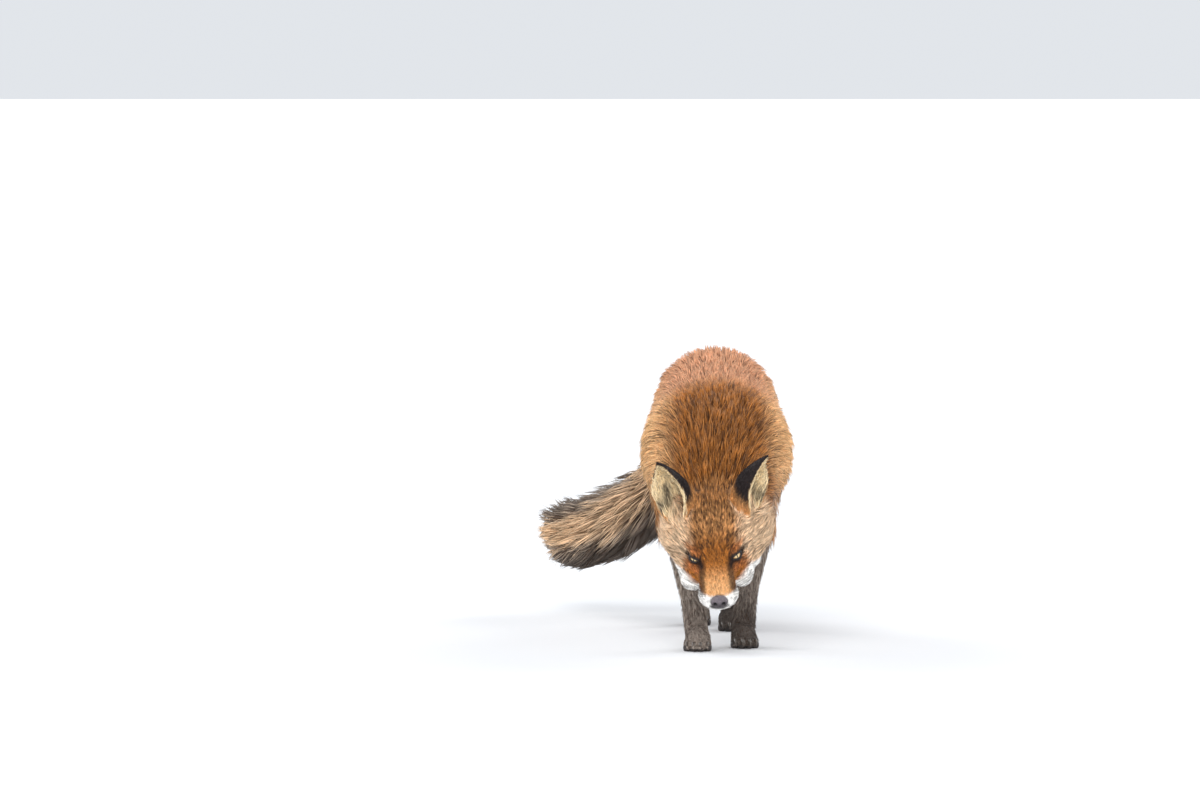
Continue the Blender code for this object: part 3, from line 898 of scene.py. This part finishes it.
skin = joinedFlesh()
smoothAndThin(skin)
refineFace(skin)
skinWeb = Web(skin.data)
skinNodes = nearestNodes(pointsOf(skin.data))
skinDepth = coatDepth(pointsOf(skin.data), skinNodes, skinWeb)
setPoints(skin.data, shapeFace(drawIn(skin, skinDepth, skinWeb)))
skinPoints, skinNormals = pointsOf(skin.data), normalsOf(skin.data)
skinBare = noHair(skinPoints, skinNodes)
tailHeight, tailRun = alongTail(skinPoints)
skinMarks, skinTints = markingsAt(skinPoints, skinNormals, skinNodes, tailHeight, tailRun)
addMarks(skin.data, "markings", *skinMarks.T)
addMarks(skin.data, "tints", *skinTints.T)
addMarks(skin.data, "bare", skinBare, skinBare, 0, 1)


def dress(obj, finish):
    obj.data.materials.clear()
    obj.data.materials.append(finishes[finish])
    obj.data.polygons.foreach_set("use_smooth", np.ones(len(obj.data.polygons), bool))


dress(skin, "skin")
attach(skin, "root")
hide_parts(*fleshNodes)
print("skin triangles", len(trianglesOf(skin.data)))


print("eyes, nose, claws and pads")
gaze = {"look": 0.97, "corner": -0.16, "up": 0.17, "irisRadius": 0.0056, "bulge": 0.0004}


def finishPiece(obj, finish, slot, *nodes):
    dress(obj, finish)
    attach(obj, "root")
    if nodes:
        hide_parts(*nodes)
    return obj


def makeEye(side, name):
    radius = eyeRadius(name)
    centre, look, corner, up = eyeFrame(side)
    ahead = unit(gaze["look"] * look + gaze["corner"] * corner + gaze["up"] * up)
    across = unit(corner - ahead * (corner @ ahead))
    rise = np.cross(ahead, across) * side
    bm = bmesh.new()
    bmesh.ops.create_icosphere(bm, subdivisions=6, radius=radius)
    mesh = meshFrom(bm, name)
    way = unit(pointsOf(mesh))
    turn = way @ ahead
    bulge = gaze["bulge"] * ramp(turn, cos(radians(44)), cos(radians(20)))
    setPoints(mesh, centre + way * (radius + bulge)[:, None])
    a, b = way @ across * radius / gaze["irisRadius"], way @ rise * radius / gaze["irisRadius"]
    ring = np.sqrt(a * a + b * b) + np.where(turn < 0, 2.0, 0.0)
    addMarks(mesh, "iris", np.abs(a), np.abs(b), ring, 1)
    return finishPiece(newObject(name + "_ball", mesh), "eye", "eye_amber", name)


def tubeAlong(name, points, radii, closed=False, sides=3):
    curve = bpy.data.curves.new(name, "CURVE")
    curve.dimensions = "3D"
    curve.bevel_depth = 1.0
    curve.bevel_resolution = sides
    curve.use_fill_caps = True
    line = curve.splines.new("POLY")
    line.points.add(len(points) - 1)
    for point, place, radius in zip(line.points, points, radii):
        point.co = (*place, 1)
        point.radius = radius
    line.use_cyclic_u = closed
    holder = newObject(name + "_line", curve)
    mesh = meshOf(holder)
    bpy.data.objects.remove(holder)
    bpy.data.curves.remove(curve)
    bm = bmesh.new()
    bm.from_mesh(mesh)
    bmesh.ops.remove_doubles(bm, verts=bm.verts, dist=1e-6)
    bmesh.ops.recalc_face_normals(bm, faces=bm.faces)
    bm.to_mesh(mesh)
    bm.free()
    return newObject(name, mesh)


def makeLidRim(side, name):
    centre, look, corner, up = eyeFrame(side)
    radius = eyeRadius(name) + eyeSettings["rimOut"]
    half = eyeSettings[side]["half"]
    points, radii = [], []
    for k in range(72):
        turn = 2 * pi * k / 72
        a = half * 1.02 * cos(turn)
        upper, lower = lidHeights(side, np.array(a))
        b = float(upper if sin(turn) > 0 else lower) * 1.05
        points.append(centre + a * corner + b * up + look * np.sqrt(max(radius**2 - a * a - b * b, 0)))
        radii.append(0.00075 + 0.00030 * max(-sin(turn), 0) + 0.00020 * max(-cos(turn), 0))
    return finishPiece(tubeAlong(name + "_rim", points, radii, closed=True), "rim", "nose_black")


for side, name in eyes.items():
    makeEye(side, name)
    makeLidRim(side, name)


noseSettings = {
    "half": (0.0108, 0.0082, 0.0088),  # across, along and up
    "nostril": 0.0046,  # how deep the nostrils, their slits and the groove are, how far the wings stand out
    "slit": 0.0022,
    "groove": 0.0011,
    "wing": 0.0007,
}


def makeNose():
    bm = bmesh.new()
    bmesh.ops.create_icosphere(bm, subdivisions=6, radius=1.0)
    mesh = meshFrom(bm, "nose")
    x, y, z = pointsOf(mesh).T
    out, front = np.abs(x), ramp(-y, -0.2, 0.6)

    def mound(middle, reach, up=z):
        return np.exp(-(((out - middle[0]) / reach[0]) ** 2) - ((up - middle[1]) / reach[1]) ** 2)

    nostril = mound((0.47, 0.16), (0.23, 0.30)) * front
    slit = mound((0.74, 0), (0.20, 0.10), z + 0.24 + 0.25 * (out - 0.6)) * ramp(-y, -0.5, 0.2)
    groove = ridge(out, 0, 0.07) * front * ramp(-z, -0.35, 0.15)
    wing = mound((0.72, 0.22), (0.22, 0.30)) * front
    wide, deep, tall = noseSettings["half"]
    narrow = 1 - 0.30 * ramp(-z, -0.1, 1.0)
    shape = np.stack([wide * x * narrow, deep * y * (1 - 0.18 * y * y), tall * z * (1 + 0.10 * wing)], axis=1)
    deeper = noseSettings["nostril"] * nostril + noseSettings["slit"] * slit + noseSettings["groove"] * groove
    shape[:, 1] += deeper - noseSettings["wing"] * wing
    hollow = np.clip(ramp(nostril, 0.25, 0.60) + ramp(slit, 0.4, 0.8), 0, 1)
    # the second value lightens the top of the pad, a painted sheen
    addMarks(mesh, "nostril", hollow, ramp(z, 0.0, 0.6), 0, 1)
    setPoints(mesh, np.array(middleOf("nose")) + shape @ headAxes.T)
    return finishPiece(newObject("nose_pad", mesh), "nose", "nose_black", "nose")


makeNose()

pawSettings = {  # middle of each foot on the floor, and how far it toes out in degrees
    "forepaw_right": ((-0.019, -0.064), -3),
    "forepaw_left": ((0.0385, -0.016), 5),
    "hindpaw_left": ((0.027, 0.264), 4),
    "hindpaw_right": ((-0.014, 0.360), -4),
}
toeSettings = {
    "toes": ((-0.0125, -0.0140), (-0.0043, -0.0205), (0.0043, -0.0205), (0.0125, -0.0140)),
    "clawRoot": (-0.0070, 0.0105),  # in front of the toe's middle, and over the floor
    "clawLine": ((0.003, 0.0002), (-0.002, 0.0004), (-0.006, -0.0004), (-0.010, -0.0028), (-0.0130, -0.0062)),
    "clawRadii": (0.0018, 0.0020, 0.0018, 0.0013, 0.0004),
    "toePad": (0.0042, 0.0050, 0.0085),  # height of its middle, half width, half length
    "heelPad": (0, 0.0065, 0.0045, 0.0098, 0.0085),
    "padHalf": 0.0062,
}


def pawPlace(name):
    (x, y), turn = pawSettings[name]
    return Matrix.Translation(figureZero + Vector((x, y, 0))) @ Matrix.Rotation(radians(turn), 4, "Z")


def makeClaws(name):
    place = pawPlace(name)
    ahead, height = toeSettings["clawRoot"]
    whole = bmesh.new()
    for k, (x, y) in enumerate(toeSettings["toes"]):
        line = [(x, y + ahead + dy, height + dz) for dy, dz in toeSettings["clawLine"]]
        points = [place @ Vector(point) for point in line]
        claw = tubeAlong(f"{name}_claw_{k}", points, toeSettings["clawRadii"], sides=4)
        whole.from_mesh(claw.data)
        bpy.data.objects.remove(claw)
    return finishPiece(newObject(name + "_claws", meshFrom(whole, name + "_claws")), "claw", "nose_black")


def makePads(name):  # four toe pads and the heel pad, flat where they stand
    bm = bmesh.new()
    pads = [(x * 1.02, y + 0.001, *toeSettings["toePad"]) for x, y in toeSettings["toes"]]
    for x, y, z, wide, long in [*pads, toeSettings["heelPad"]]:
        made = bmesh.ops.create_icosphere(bm, subdivisions=3, radius=1.0)["verts"]
        for vert in made:
            across, along, up = vert.co
            vert.co = Vector((x + across * wide, y + along * long, max(0.0, z + up * toeSettings["padHalf"])))
    bmesh.ops.transform(bm, matrix=pawPlace(name), verts=bm.verts)
    return finishPiece(newObject(name + "_pads", meshFrom(bm, name + "_pads")), "pad", "nose_black")


for name in pawSettings:
    makeClaws(name)
    makePads(name)


print("coat")
coatSettings = {  # length, width and hairs in a square centimetre of each part of the coat
    "neck": (0.030, 0.00095, 22),
    "shoulders": (0.033, 0.00100, 18.6),
    "loins": (0.034, 0.00110, 16.4),
    "hips": (0.033, 0.00115, 15.6),
    "tail_root": (0.034, 0.00120, 17),
    "tail_brush": (0.042, 0.00120, 17.6),
    "tail_tip": (0.034, 0.00115, 20),
    "foreleg": (0.0105, 0.00070, 33),
    "forepaw": (0.0055, 0.00055, 50),
    "hindleg": (0.0120, 0.00075, 30),
    "hindpaw": (0.0055, 0.00055, 50),
    "ear": (0.0065, 0.00050, 40),
    "head": (0.0036, 0.00036, 110),  # at the nose, longer and sparser towards the neck
}
earHair = {  # length at the root, how much less at the tip, where it starts and ends to shorten
    "inner": (0.0160, 0.0130, 0.35, 0.90),
    "outer": (0.0085, 0.0060, 0.30, 1.00),
    "innerWidth": 0.00055,
}
tuftSettings = {
    "sunk": 0.0006,  # how far a tuft's root lies under the skin
    "steps": (0.0, 0.30, 0.64, 1.0),
    "long": ((0, 1, 2), (0.55, 1.0, 0.78)),  # steps with a ring of three points, and their widths
    "short": ((0, 1), (0.70, 1.0)),
    "patch": 0.003,  # size of one tuft on the OFBake map
    "mostFaces": 190000,  # in one piece
    "pastBox": (0.03, 0.008),  # share of the figure's size, and metres more
}
locks = {
    "spacing": 0.15,  # between the locks' middles, as a share of the hair's length
    "least": 0.0030,
    "pull": 0.75,  # how far the tips of a lock come together
    "hangingPull": 0.18,
    "turn": 5,  # degrees, of a lock and of each hair
    "ownTurn": 4,
    "droop": 0.55,  # of the brush's underside and the flanks
}


def faceFields(x, y, z):  # length, width and density on the head, and how much further the tufts stand
    back, cheek = ramp(y, -0.055, 0.050), ramp(x, 0.032, 0.060) * ramp(y, -0.010, 0.035)
    throat = ramp(-z, 0.024, 0.046) * ramp(y, -0.030, 0.020)
    lips = ramp(-y, 0.040, 0.062) * ramp(-z, 0.008, 0.018)
    jaw = ramp(-z, 0.020, 0.034) * ramp(-y, 0.014, 0.030) * ramp(y, -0.062, -0.048)
    length, width, density = coatSettings["head"]
    length = length + 0.0080 * back + 0.0110 * cheek + 0.0070 * throat + 0.0035 * lips + 0.0060 * jaw
    width = width + 0.00030 * back + 0.0002 * np.maximum(cheek, throat)
    density = density - 55 * back - 17 * np.maximum(cheek, throat)
    lift = 0.15 * cheek + 0.35 * ramp(-y, 0.045, 0.065) * ramp(-z, 0.008, 0.020)
    return length, width, density, lift


def brushLifts(hanging):  # the brush stands out above towards its end, and lies closer at its sides and below
    return (
        0.20 * ramp(tailHeight, 0.1, 0.7) * ramp(tailRun, 0.55, 0.75),
        0.55 * ramp(tailHeight, 0.4, 0.9) * ramp(tailRun, 0.74, 0.90),
        -0.22 * fade(np.abs(tailHeight), 0.8, 0.4) * ramp(tailRun, 0.62, 0.80),
        -0.22 * hanging * fade(tailRun, 0.66, 0.48),
    )


def coatFields():
    length, width, density = perPart(coatSettings, skinNodes).T
    x, y, z = inHead(skinPoints).T
    isHead, isEar, isTail = (isPart(skinNodes, *parts) for parts in (("head",), ears.values(), tailParts))
    *face, faceLift = faceFields(np.abs(x), y, z)
    length, width, density = (np.where(isHead, *pair) for pair in zip(face, (length, width, density)))
    inner = isEar & (skinTints[:, 0] > 0.45)
    reach = np.zeros(len(skinPoints))
    for side, name in ears.items():
        root, axis, _, _ = earFrame(side)
        reach = np.where(isPart(skinNodes, name), (skinPoints - root) @ axis / earShape["length"], reach)
    width = np.where(inner, earHair["innerWidth"], width)
    length, width, density = (skinWeb.spread(field, 12) for field in (length, width, density))
    for where, (longest, less, start, end) in ((inner, earHair["inner"]), (isEar & ~inner, earHair["outer"])):
        length = np.where(where, longest - less * ramp(reach, start, end), length)
    hanging = np.where(isTail, ramp(-tailHeight, 0.2, 0.8) * ramp(tailRun, 0.2, 0.4), 0)
    length = length * (1 + 0.22 * hanging)
    density = density * (1 - skinBare) * 1e4
    lift = 0.93 - 0.30 * hanging + np.where(isHead, faceLift, 0)
    for change in brushLifts(hanging):
        lift = lift + np.where(isTail, change, 0)
    ragged = np.where(isTail, 1.0, np.where(isPart(skinNodes, *trunkParts), 0.35, 0.0))
    return np.stack([length, width, density, skinDepth, hanging, inner, lift, ragged], axis=1)


fields = coatFields()
skinTriangles = trianglesOf(skin.data)
skinTree = BVHTree.FromPolygons(skinPoints.tolist(), skinTriangles.tolist())
smoothNormals = unit(skinWeb.spread(skinNormals, 4))


def sampleRoots():
    a, b, c = (skinPoints[skinTriangles[:, k]] for k in range(3))
    area = np.linalg.norm(np.cross(b - a, c - a), axis=1) / 2
    wanted = area * fields[skinTriangles, 2].mean(axis=1)
    count = np.floor(wanted + dice.random(len(wanted))).astype(int)
    owner = np.repeat(np.arange(len(count)), count)
    u, v = dice.random((2, len(owner)))
    flip = u + v > 1
    u, v = np.where(flip, 1 - u, u), np.where(flip, 1 - v, v)
    return owner, np.stack([1 - u - v, u, v], axis=1)


owner, weights = sampleRoots()


def atRoots(values):
    return np.einsum("nk,nk...->n...", weights, values[skinTriangles[owner]])


roots, rootNormals, rootFields = atRoots(skinPoints), unit(atRoots(smoothNormals)), atRoots(fields)
rootMarks, rootTints = atRoots(skinMarks), atRoots(skinTints)
rootNodes = skinNodes[skinTriangles[owner, 0]]
total = len(roots)
print("tufts", total, {name: int(isPart(rootNodes, name).sum()) for name in fleshNodes})


def chooseGuides():  # each lock of hair gathers round one of its own hairs
    length = rootFields[:, 0]
    spacing = np.maximum(locks["spacing"] * length, locks["least"])
    share = np.clip(1.0 / (rootFields[:, 2] * spacing**2 * 0.75), 0.02, 1)
    guides = np.nonzero(dice.random(total) < share)[0]
    tree = KDTree(len(guides))
    for k, place in enumerate(roots[guides].tolist()):
        tree.insert(place, k)
    tree.balance()
    return guides, np.array([tree.find(place)[1] for place in roots.tolist()])


guides, guideOf = chooseGuides()
lockTurn, lockShade, lockLength = (dice.normal(0, 1, len(guides))[guideOf] for _ in range(3))
lockFleck = dice.random(len(guides))[guideOf]


def turned(vectors, about, angle):
    return vectors * np.cos(angle)[:, None] + np.cross(about, vectors) * np.sin(angle)[:, None]


def laidFlat(vectors, normals):
    return unit(vectors - normals * (vectors * normals).sum(axis=1)[:, None])


def uneven(byLock, byHair, least, most):  # each hair's share of the usual size
    return (1 + byLock * lockLength + byHair * dice.normal(0, 1, total)).clip(least, most)


def tuftPaths(steps):  # each hair runs along the skin, rising to the depth of the coat
    length, _, _, depth, hanging, inner, lift, ragged = rootFields.T
    flow = flowAt(roots)
    for side, name in ears.items():
        flow[isPart(rootNodes, name)] = earFrame(side)[1]
    droop = locks["droop"]
    flow[:, 2] -= droop * hanging + droop * isPart(rootNodes, *trunkParts) * np.abs(rootNormals[:, 0])
    angle = radians(locks["turn"]) * lockTurn + radians(locks["ownTurn"]) * dice.normal(0, 1, total)
    way = turned(laidFlat(flow, rootNormals), rootNormals, angle)
    size = length * uneven(0.06 + 0.08 * ragged + 0.14 * hanging, 0.16, 0.5, 1.6)
    top = depth * lift * uneven(0.09 + 0.16 * ragged + 0.16 * hanging, 0.20, 0.35, 1.4)
    top = np.maximum(top, size * 0.10) + inner * 0.0016
    paths, normals = [roots - rootNormals * tuftSettings["sunk"]], [rootNormals]
    here = roots.copy()
    for last, step in zip(steps, steps[1:]):
        here = here + way * (size * (step - last))[:, None]
        found = [skinTree.find_nearest(place) for place in here.tolist()]
        spot = np.array([f[0][:] for f in found])
        normal = unit(smoothNormals[skinTriangles[[f[2] for f in found]]].mean(axis=1))
        height = ((here - spot) * normal).sum(axis=1)
        wish = top * (1 - (1 - step) ** 1.6)
        level = here - spot - normal * height[:, None]
        height = np.where(height > wish, height + (wish - height) * 0.55, wish)
        here = spot + level + normal * height[:, None]
        way = laidFlat(way, normal)
        paths.append(here)
        normals.append(normal)
    paths, normals = np.stack(paths, axis=1), np.stack(normals, axis=1)
    pull = (locks["pull"] + locks["hangingPull"] * hanging)[:, None, None]
    pull = pull * (np.array(steps) ** 1.5)[None, :, None]
    return paths + pull * (paths[guides][guideOf] - paths), normals


paths, pathNormals = tuftPaths(tuftSettings["steps"])


def rolledOut(points, line):  # run along a line of straight lengths, and the angle round it
    number, share, _ = nearestLength(points, line)
    reach = np.cumsum([0] + [np.linalg.norm(b - a) for a, b in zip(line, line[1:])])
    angle = np.zeros(len(points))
    for k, (start, end) in enumerate(zip(line, line[1:])):
        tangent = unit(end - start)
        side = unit(np.cross(tangent, (0.13, 0.0, 1.0) if abs(tangent[2]) < 0.8 else (0.0, 1.0, 0.0)))
        offset = points - start
        turn = np.arctan2(offset @ np.cross(tangent, side), offset @ side)
        angle = np.where(number == k, turn, angle)
    run = reach[number] + share * (reach[number + 1] - reach[number])
    return run / reach[-1], angle / (2 * pi) + 0.5


def unwrapRoots():  # each part rolled out on a tile of its own
    margin, span = 0.02, 0.96
    trunkLine = headLine((0, 0.06, 0.0))
    trunkLine += bodyLine((0.003, -0.03, 0.24), (0.006, 0.16, 0.255), (0.008, 0.37, 0.27))
    jobs = [(("head",), headLine((0, -0.085, -0.012), (0, 0.13, 0.0)), margin, span)]
    jobs += [(trunkParts, trunkLine, margin, span), (tailParts, tailLine, margin, span)]
    for k, (leg, line) in enumerate(legLines.items()):
        jobs.append(((leg, leg.replace("leg", "paw")), line, margin + 0.24 * k, 0.22))
    for k, (side, name) in enumerate(ears.items()):
        root, axis, _, _ = earFrame(side)
        jobs.append(((name,), [root, root + axis * 0.10], margin + 0.48 * k, 0.46))
    flat = np.zeros((total, 2))
    for names, line, left, wide in jobs:
        mine = isPart(rootNodes, *names)
        run, angle = rolledOut(roots[mine], line)
        flat[mine] = np.stack([left + angle * wide, margin + run * span], axis=1)
    return flat


rootFlat = unwrapRoots()
boxLow, boxHigh = (np.array(corner) for corner in cadBox)  # the coat ends a little outside the figure's box
allowed = (boxHigh - boxLow) * tuftSettings["pastBox"][0] + tuftSettings["pastBox"][1]
coatLow, coatHigh = boxLow - allowed, boxHigh + allowed
coatLow[2] = 0.0008


# the tufts of a piece are written into one mesh at once, because an operator for each would take many minutes
def tuftPoints(chosen, columns, widths):  # rings of three points, then the tip
    path, normal = paths[chosen][:, [*columns, 3]], pathNormals[chosen][:, [*columns, 3]]
    way = np.gradient(path, axis=1)
    side = unit(np.cross(way, normal))
    top = unit(np.cross(side, way))
    verts = np.empty((len(chosen), len(widths) * 3 + 1, 3))
    wide = rootFields[chosen, 1] * dice.uniform(0.75, 1.3, len(chosen))
    for k, share in enumerate(widths):
        half = (wide * share / 2)[:, None]
        verts[:, 3 * k] = path[:, k] - side[:, k] * half - top[:, k] * half * 0.25
        verts[:, 3 * k + 1] = path[:, k] + side[:, k] * half - top[:, k] * half * 0.25
        verts[:, 3 * k + 2] = path[:, k] + top[:, k] * half * 0.85
    verts[:, -1] = path[:, -1]
    return verts.clip(coatLow, coatHigh)


def tuftFaces(rings):
    pattern = [(0, 1, 2)]
    for k in range(rings - 1):
        for j in range(3):
            a, b = 3 * k + j, 3 * k + (j + 1) % 3
            pattern += [(a, a + 3, b), (b, a + 3, b + 3)]
    last = 3 * (rings - 1)
    return pattern + [(last + j, 3 * rings, last + (j + 1) % 3) for j in range(3)]


def hairMarks(chosen, heights):  # along the hair, shade, dark band, depth of the coat
    count, length, white = len(chosen), rootFields[chosen, 0], rootMarks[chosen, 0]
    cream, agouti, _, _ = rootTints[chosen].T
    shortness = fade(length, 0.020, 0.008)
    shade = 0.5 + (0.19 + 0.08 * shortness + 0.10 * agouti) * lockShade[chosen]
    shade = shade + 0.15 * dice.normal(0, 1, count)
    fleck = lockFleck[chosen] < 0.24 + 0.10 * shortness
    odds = 0.03 + agouti * (0.07 + (0.75 + 0.20 * shortness) * fleck)
    odds = odds * (1 - 0.7 * white) * (1 - 0.9 * cream)
    dark = (dice.random(count) < odds) * (dice.uniform(0.45, 0.95, count) + 0.25 * shortness).clip(0, 1)
    # deeper coats get darker roots: dark underfur and painted shade deep in the coat
    deep = ramp(length, 0.004, 0.024) * (1 - cream)
    return heights, shade.clip(0, 1)[:, None], dark[:, None], deep[:, None]


def buildCoat(name, chosen, slot, shape):
    columns, widths = tuftSettings[shape]
    verts = tuftPoints(chosen, columns, widths)
    count, each = verts.shape[:2]
    pattern = np.array(tuftFaces(len(widths)))
    faces = (pattern[None] + (np.arange(count) * each)[:, None, None]).reshape(-1, 3)
    mesh = bpy.data.meshes.new(name)
    mesh.vertices.add(count * each)
    mesh.vertices.foreach_set("co", verts.ravel())
    mesh.loops.add(faces.size)
    mesh.loops.foreach_set("vertex_index", faces.ravel().astype(np.int32))
    mesh.polygons.add(len(faces))
    mesh.polygons.foreach_set("loop_start", np.arange(0, faces.size, 3, dtype=np.int32))
    mesh.update(calc_edges=True)
    heights = np.append(np.repeat([tuftSettings["steps"][k] for k in columns], 3), 1.0)
    addMarks(mesh, "hair", *hairMarks(chosen, heights))
    addMarks(mesh, "markings", *np.repeat(rootMarks[chosen], each, axis=0).T)
    addMarks(mesh, "tints", *np.repeat(rootTints[chosen], each, axis=0).T)
    offset = np.stack([np.append(np.tile((0.0, 1.0, 0.5), len(widths)), 0.5), heights], axis=1) - 0.5
    place = (rootFlat[chosen][:, None] + offset[None] * tuftSettings["patch"]).reshape(-1, 2)
    layer = mesh.uv_layers.new(name="OFBake")
    layer.data.foreach_set("uv", place[faces.ravel()].astype(np.float32).ravel())
    return finishPiece(newObject(name, mesh), "fur", slot)


coatPieces = {
    "coat_head": (("head",), "coat_orange", "short"),
    "coat_ears": (("ear_left", "ear_right"), "ear_black", "short"),
    "coat_neck": (("neck",), "coat_orange", "long"),
    "coat_shoulders": (("shoulders",), "coat_orange", "long"),
    "coat_loins": (("loins",), "coat_orange", "long"),
    "coat_hips": (("hips",), "coat_orange", "long"),
    "coat_tail": (tailParts, "coat_brush", "long"),
    "coat_forelegs": (limbParts[:4], "coat_dark", "short"),
    "coat_hindlegs": (limbParts[4:], "coat_dark", "short"),
}
for name, (parts, slot, shape) in coatPieces.items():
    mine = np.nonzero(isPart(rootNodes, *parts))[0]
    faceCount = len(mine) * len(tuftFaces(len(tuftSettings[shape][1])))
    pieces = -(-faceCount // tuftSettings["mostFaces"])
    for k in range(pieces):
        label = name if pieces == 1 else f"{name}_{k + 1}"
        buildCoat(label, mine[k::pieces], slot, shape)
    print(name, len(mine), "tufts,", faceCount, "triangles in", pieces)


print("whiskers")
whiskerSettings = {"rows": 3, "each": 4, "length": 0.052, "radius": 0.00022, "sag": 0.28}


def whiskerLine(side, row, k):
    reach = whiskerSettings["length"] * (0.45 + 0.16 * k) * dice.uniform(0.85, 1.1)
    start = headPoint(side * (0.0115 + 0.0012 * k), -0.064 + 0.0048 * k, -0.0125 - 0.0033 * row - 0.0006 * k)
    spot = np.array(skinTree.find_nearest(Vector(start))[0])
    way = headWay(side * 1.0, 0.35 + 0.12 * k, -0.12 - 0.16 * row + dice.normal(0, 0.05))
    bend = headWay(0, 0.75, -0.25 - 0.1 * row)
    sag = whiskerSettings["sag"]
    return [spot + way * reach * t + bend * reach * sag * t * t for t in np.linspace(-0.02, 1, 9)]


def makeWhiskers(side, name):
    bm = bmesh.new()
    radii = [whiskerSettings["radius"] * (1 - 0.9 * t) for t in np.linspace(0, 1, 9)]
    for row in range(whiskerSettings["rows"]):
        for k in range(whiskerSettings["each"]):
            hair = tubeAlong(f"whisker_{row}_{k}", whiskerLine(side, row, k), radii, sides=1)
            bm.from_mesh(hair.data)
            bpy.data.objects.remove(hair)
    return finishPiece(newObject(name, meshFrom(bm, "whiskers")), "whisker", "nose_black")


makeWhiskers(-1, "whiskers_right")
makeWhiskers(1, "whiskers_left")


print("floor, light and camera")
studio = {
    "aim": (-0.1408, 0.0, 0.1895),
    "far": 10.0,
    "elevation": 2.75,
    "lens": 245.9,  # takes in 1.464 m at the eyes
    "floor": (0.76, 0.765, 0.775, 1),
    "sky": (0.80, 0.83, 0.87, 1),
    "skyStrength": 0.95,
    "lamps": {  # turn, strength and spread
        "key": ((52, 0, -14), 1.25, 30),
        "fill": ((79, 0, 5), 1.85, 24),
        "rimLeft": ((62, 0, -135), 1.1, 30),
        "rimRight": ((62, 0, 135), 1.1, 30),
    },
}


def makeFloor():
    bm = bmesh.new()
    bmesh.ops.create_grid(bm, x_segments=4, y_segments=4, size=60)
    floor = newObject("floor", meshFrom(bm, "floor"))
    finish = Finish("floor", roughness=0.9, specular=0.1)
    finish.set("Base Color", studio["floor"])
    floor.data.materials.append(finish.material)


def makeLight():
    world = bpy.data.worlds.new("studio")
    world.use_nodes = True
    back = world.node_tree.nodes["Background"]
    back.inputs["Color"].default_value = studio["sky"]
    back.inputs["Strength"].default_value = studio["skyStrength"]
    bpy.context.scene.world = world
    for name, (turn, strength, spread) in studio["lamps"].items():
        lamp = bpy.data.lights.new(name, "SUN")
        lamp.energy = strength
        lamp.angle = radians(spread)
        obj = newObject(name, lamp)
        obj.rotation_euler = [radians(angle) for angle in turn]


def makeCamera():
    lens = bpy.data.cameras.new("camera")
    lens.lens = studio["lens"]
    lens.sensor_width = 36
    lens.clip_end = 500
    camera = newObject("camera", lens)
    target = eyesMiddle + Vector(studio["aim"])
    angle = radians(studio["elevation"])
    camera.location = target + Vector((0, -cos(angle), sin(angle))) * studio["far"]
    camera.rotation_euler = (radians(90 - studio["elevation"]), 0, 0)
    bpy.context.scene.camera = camera


makeFloor()
makeLight()
makeCamera()
bpy.context.scene.view_settings.view_transform = "Standard"

print("finished")
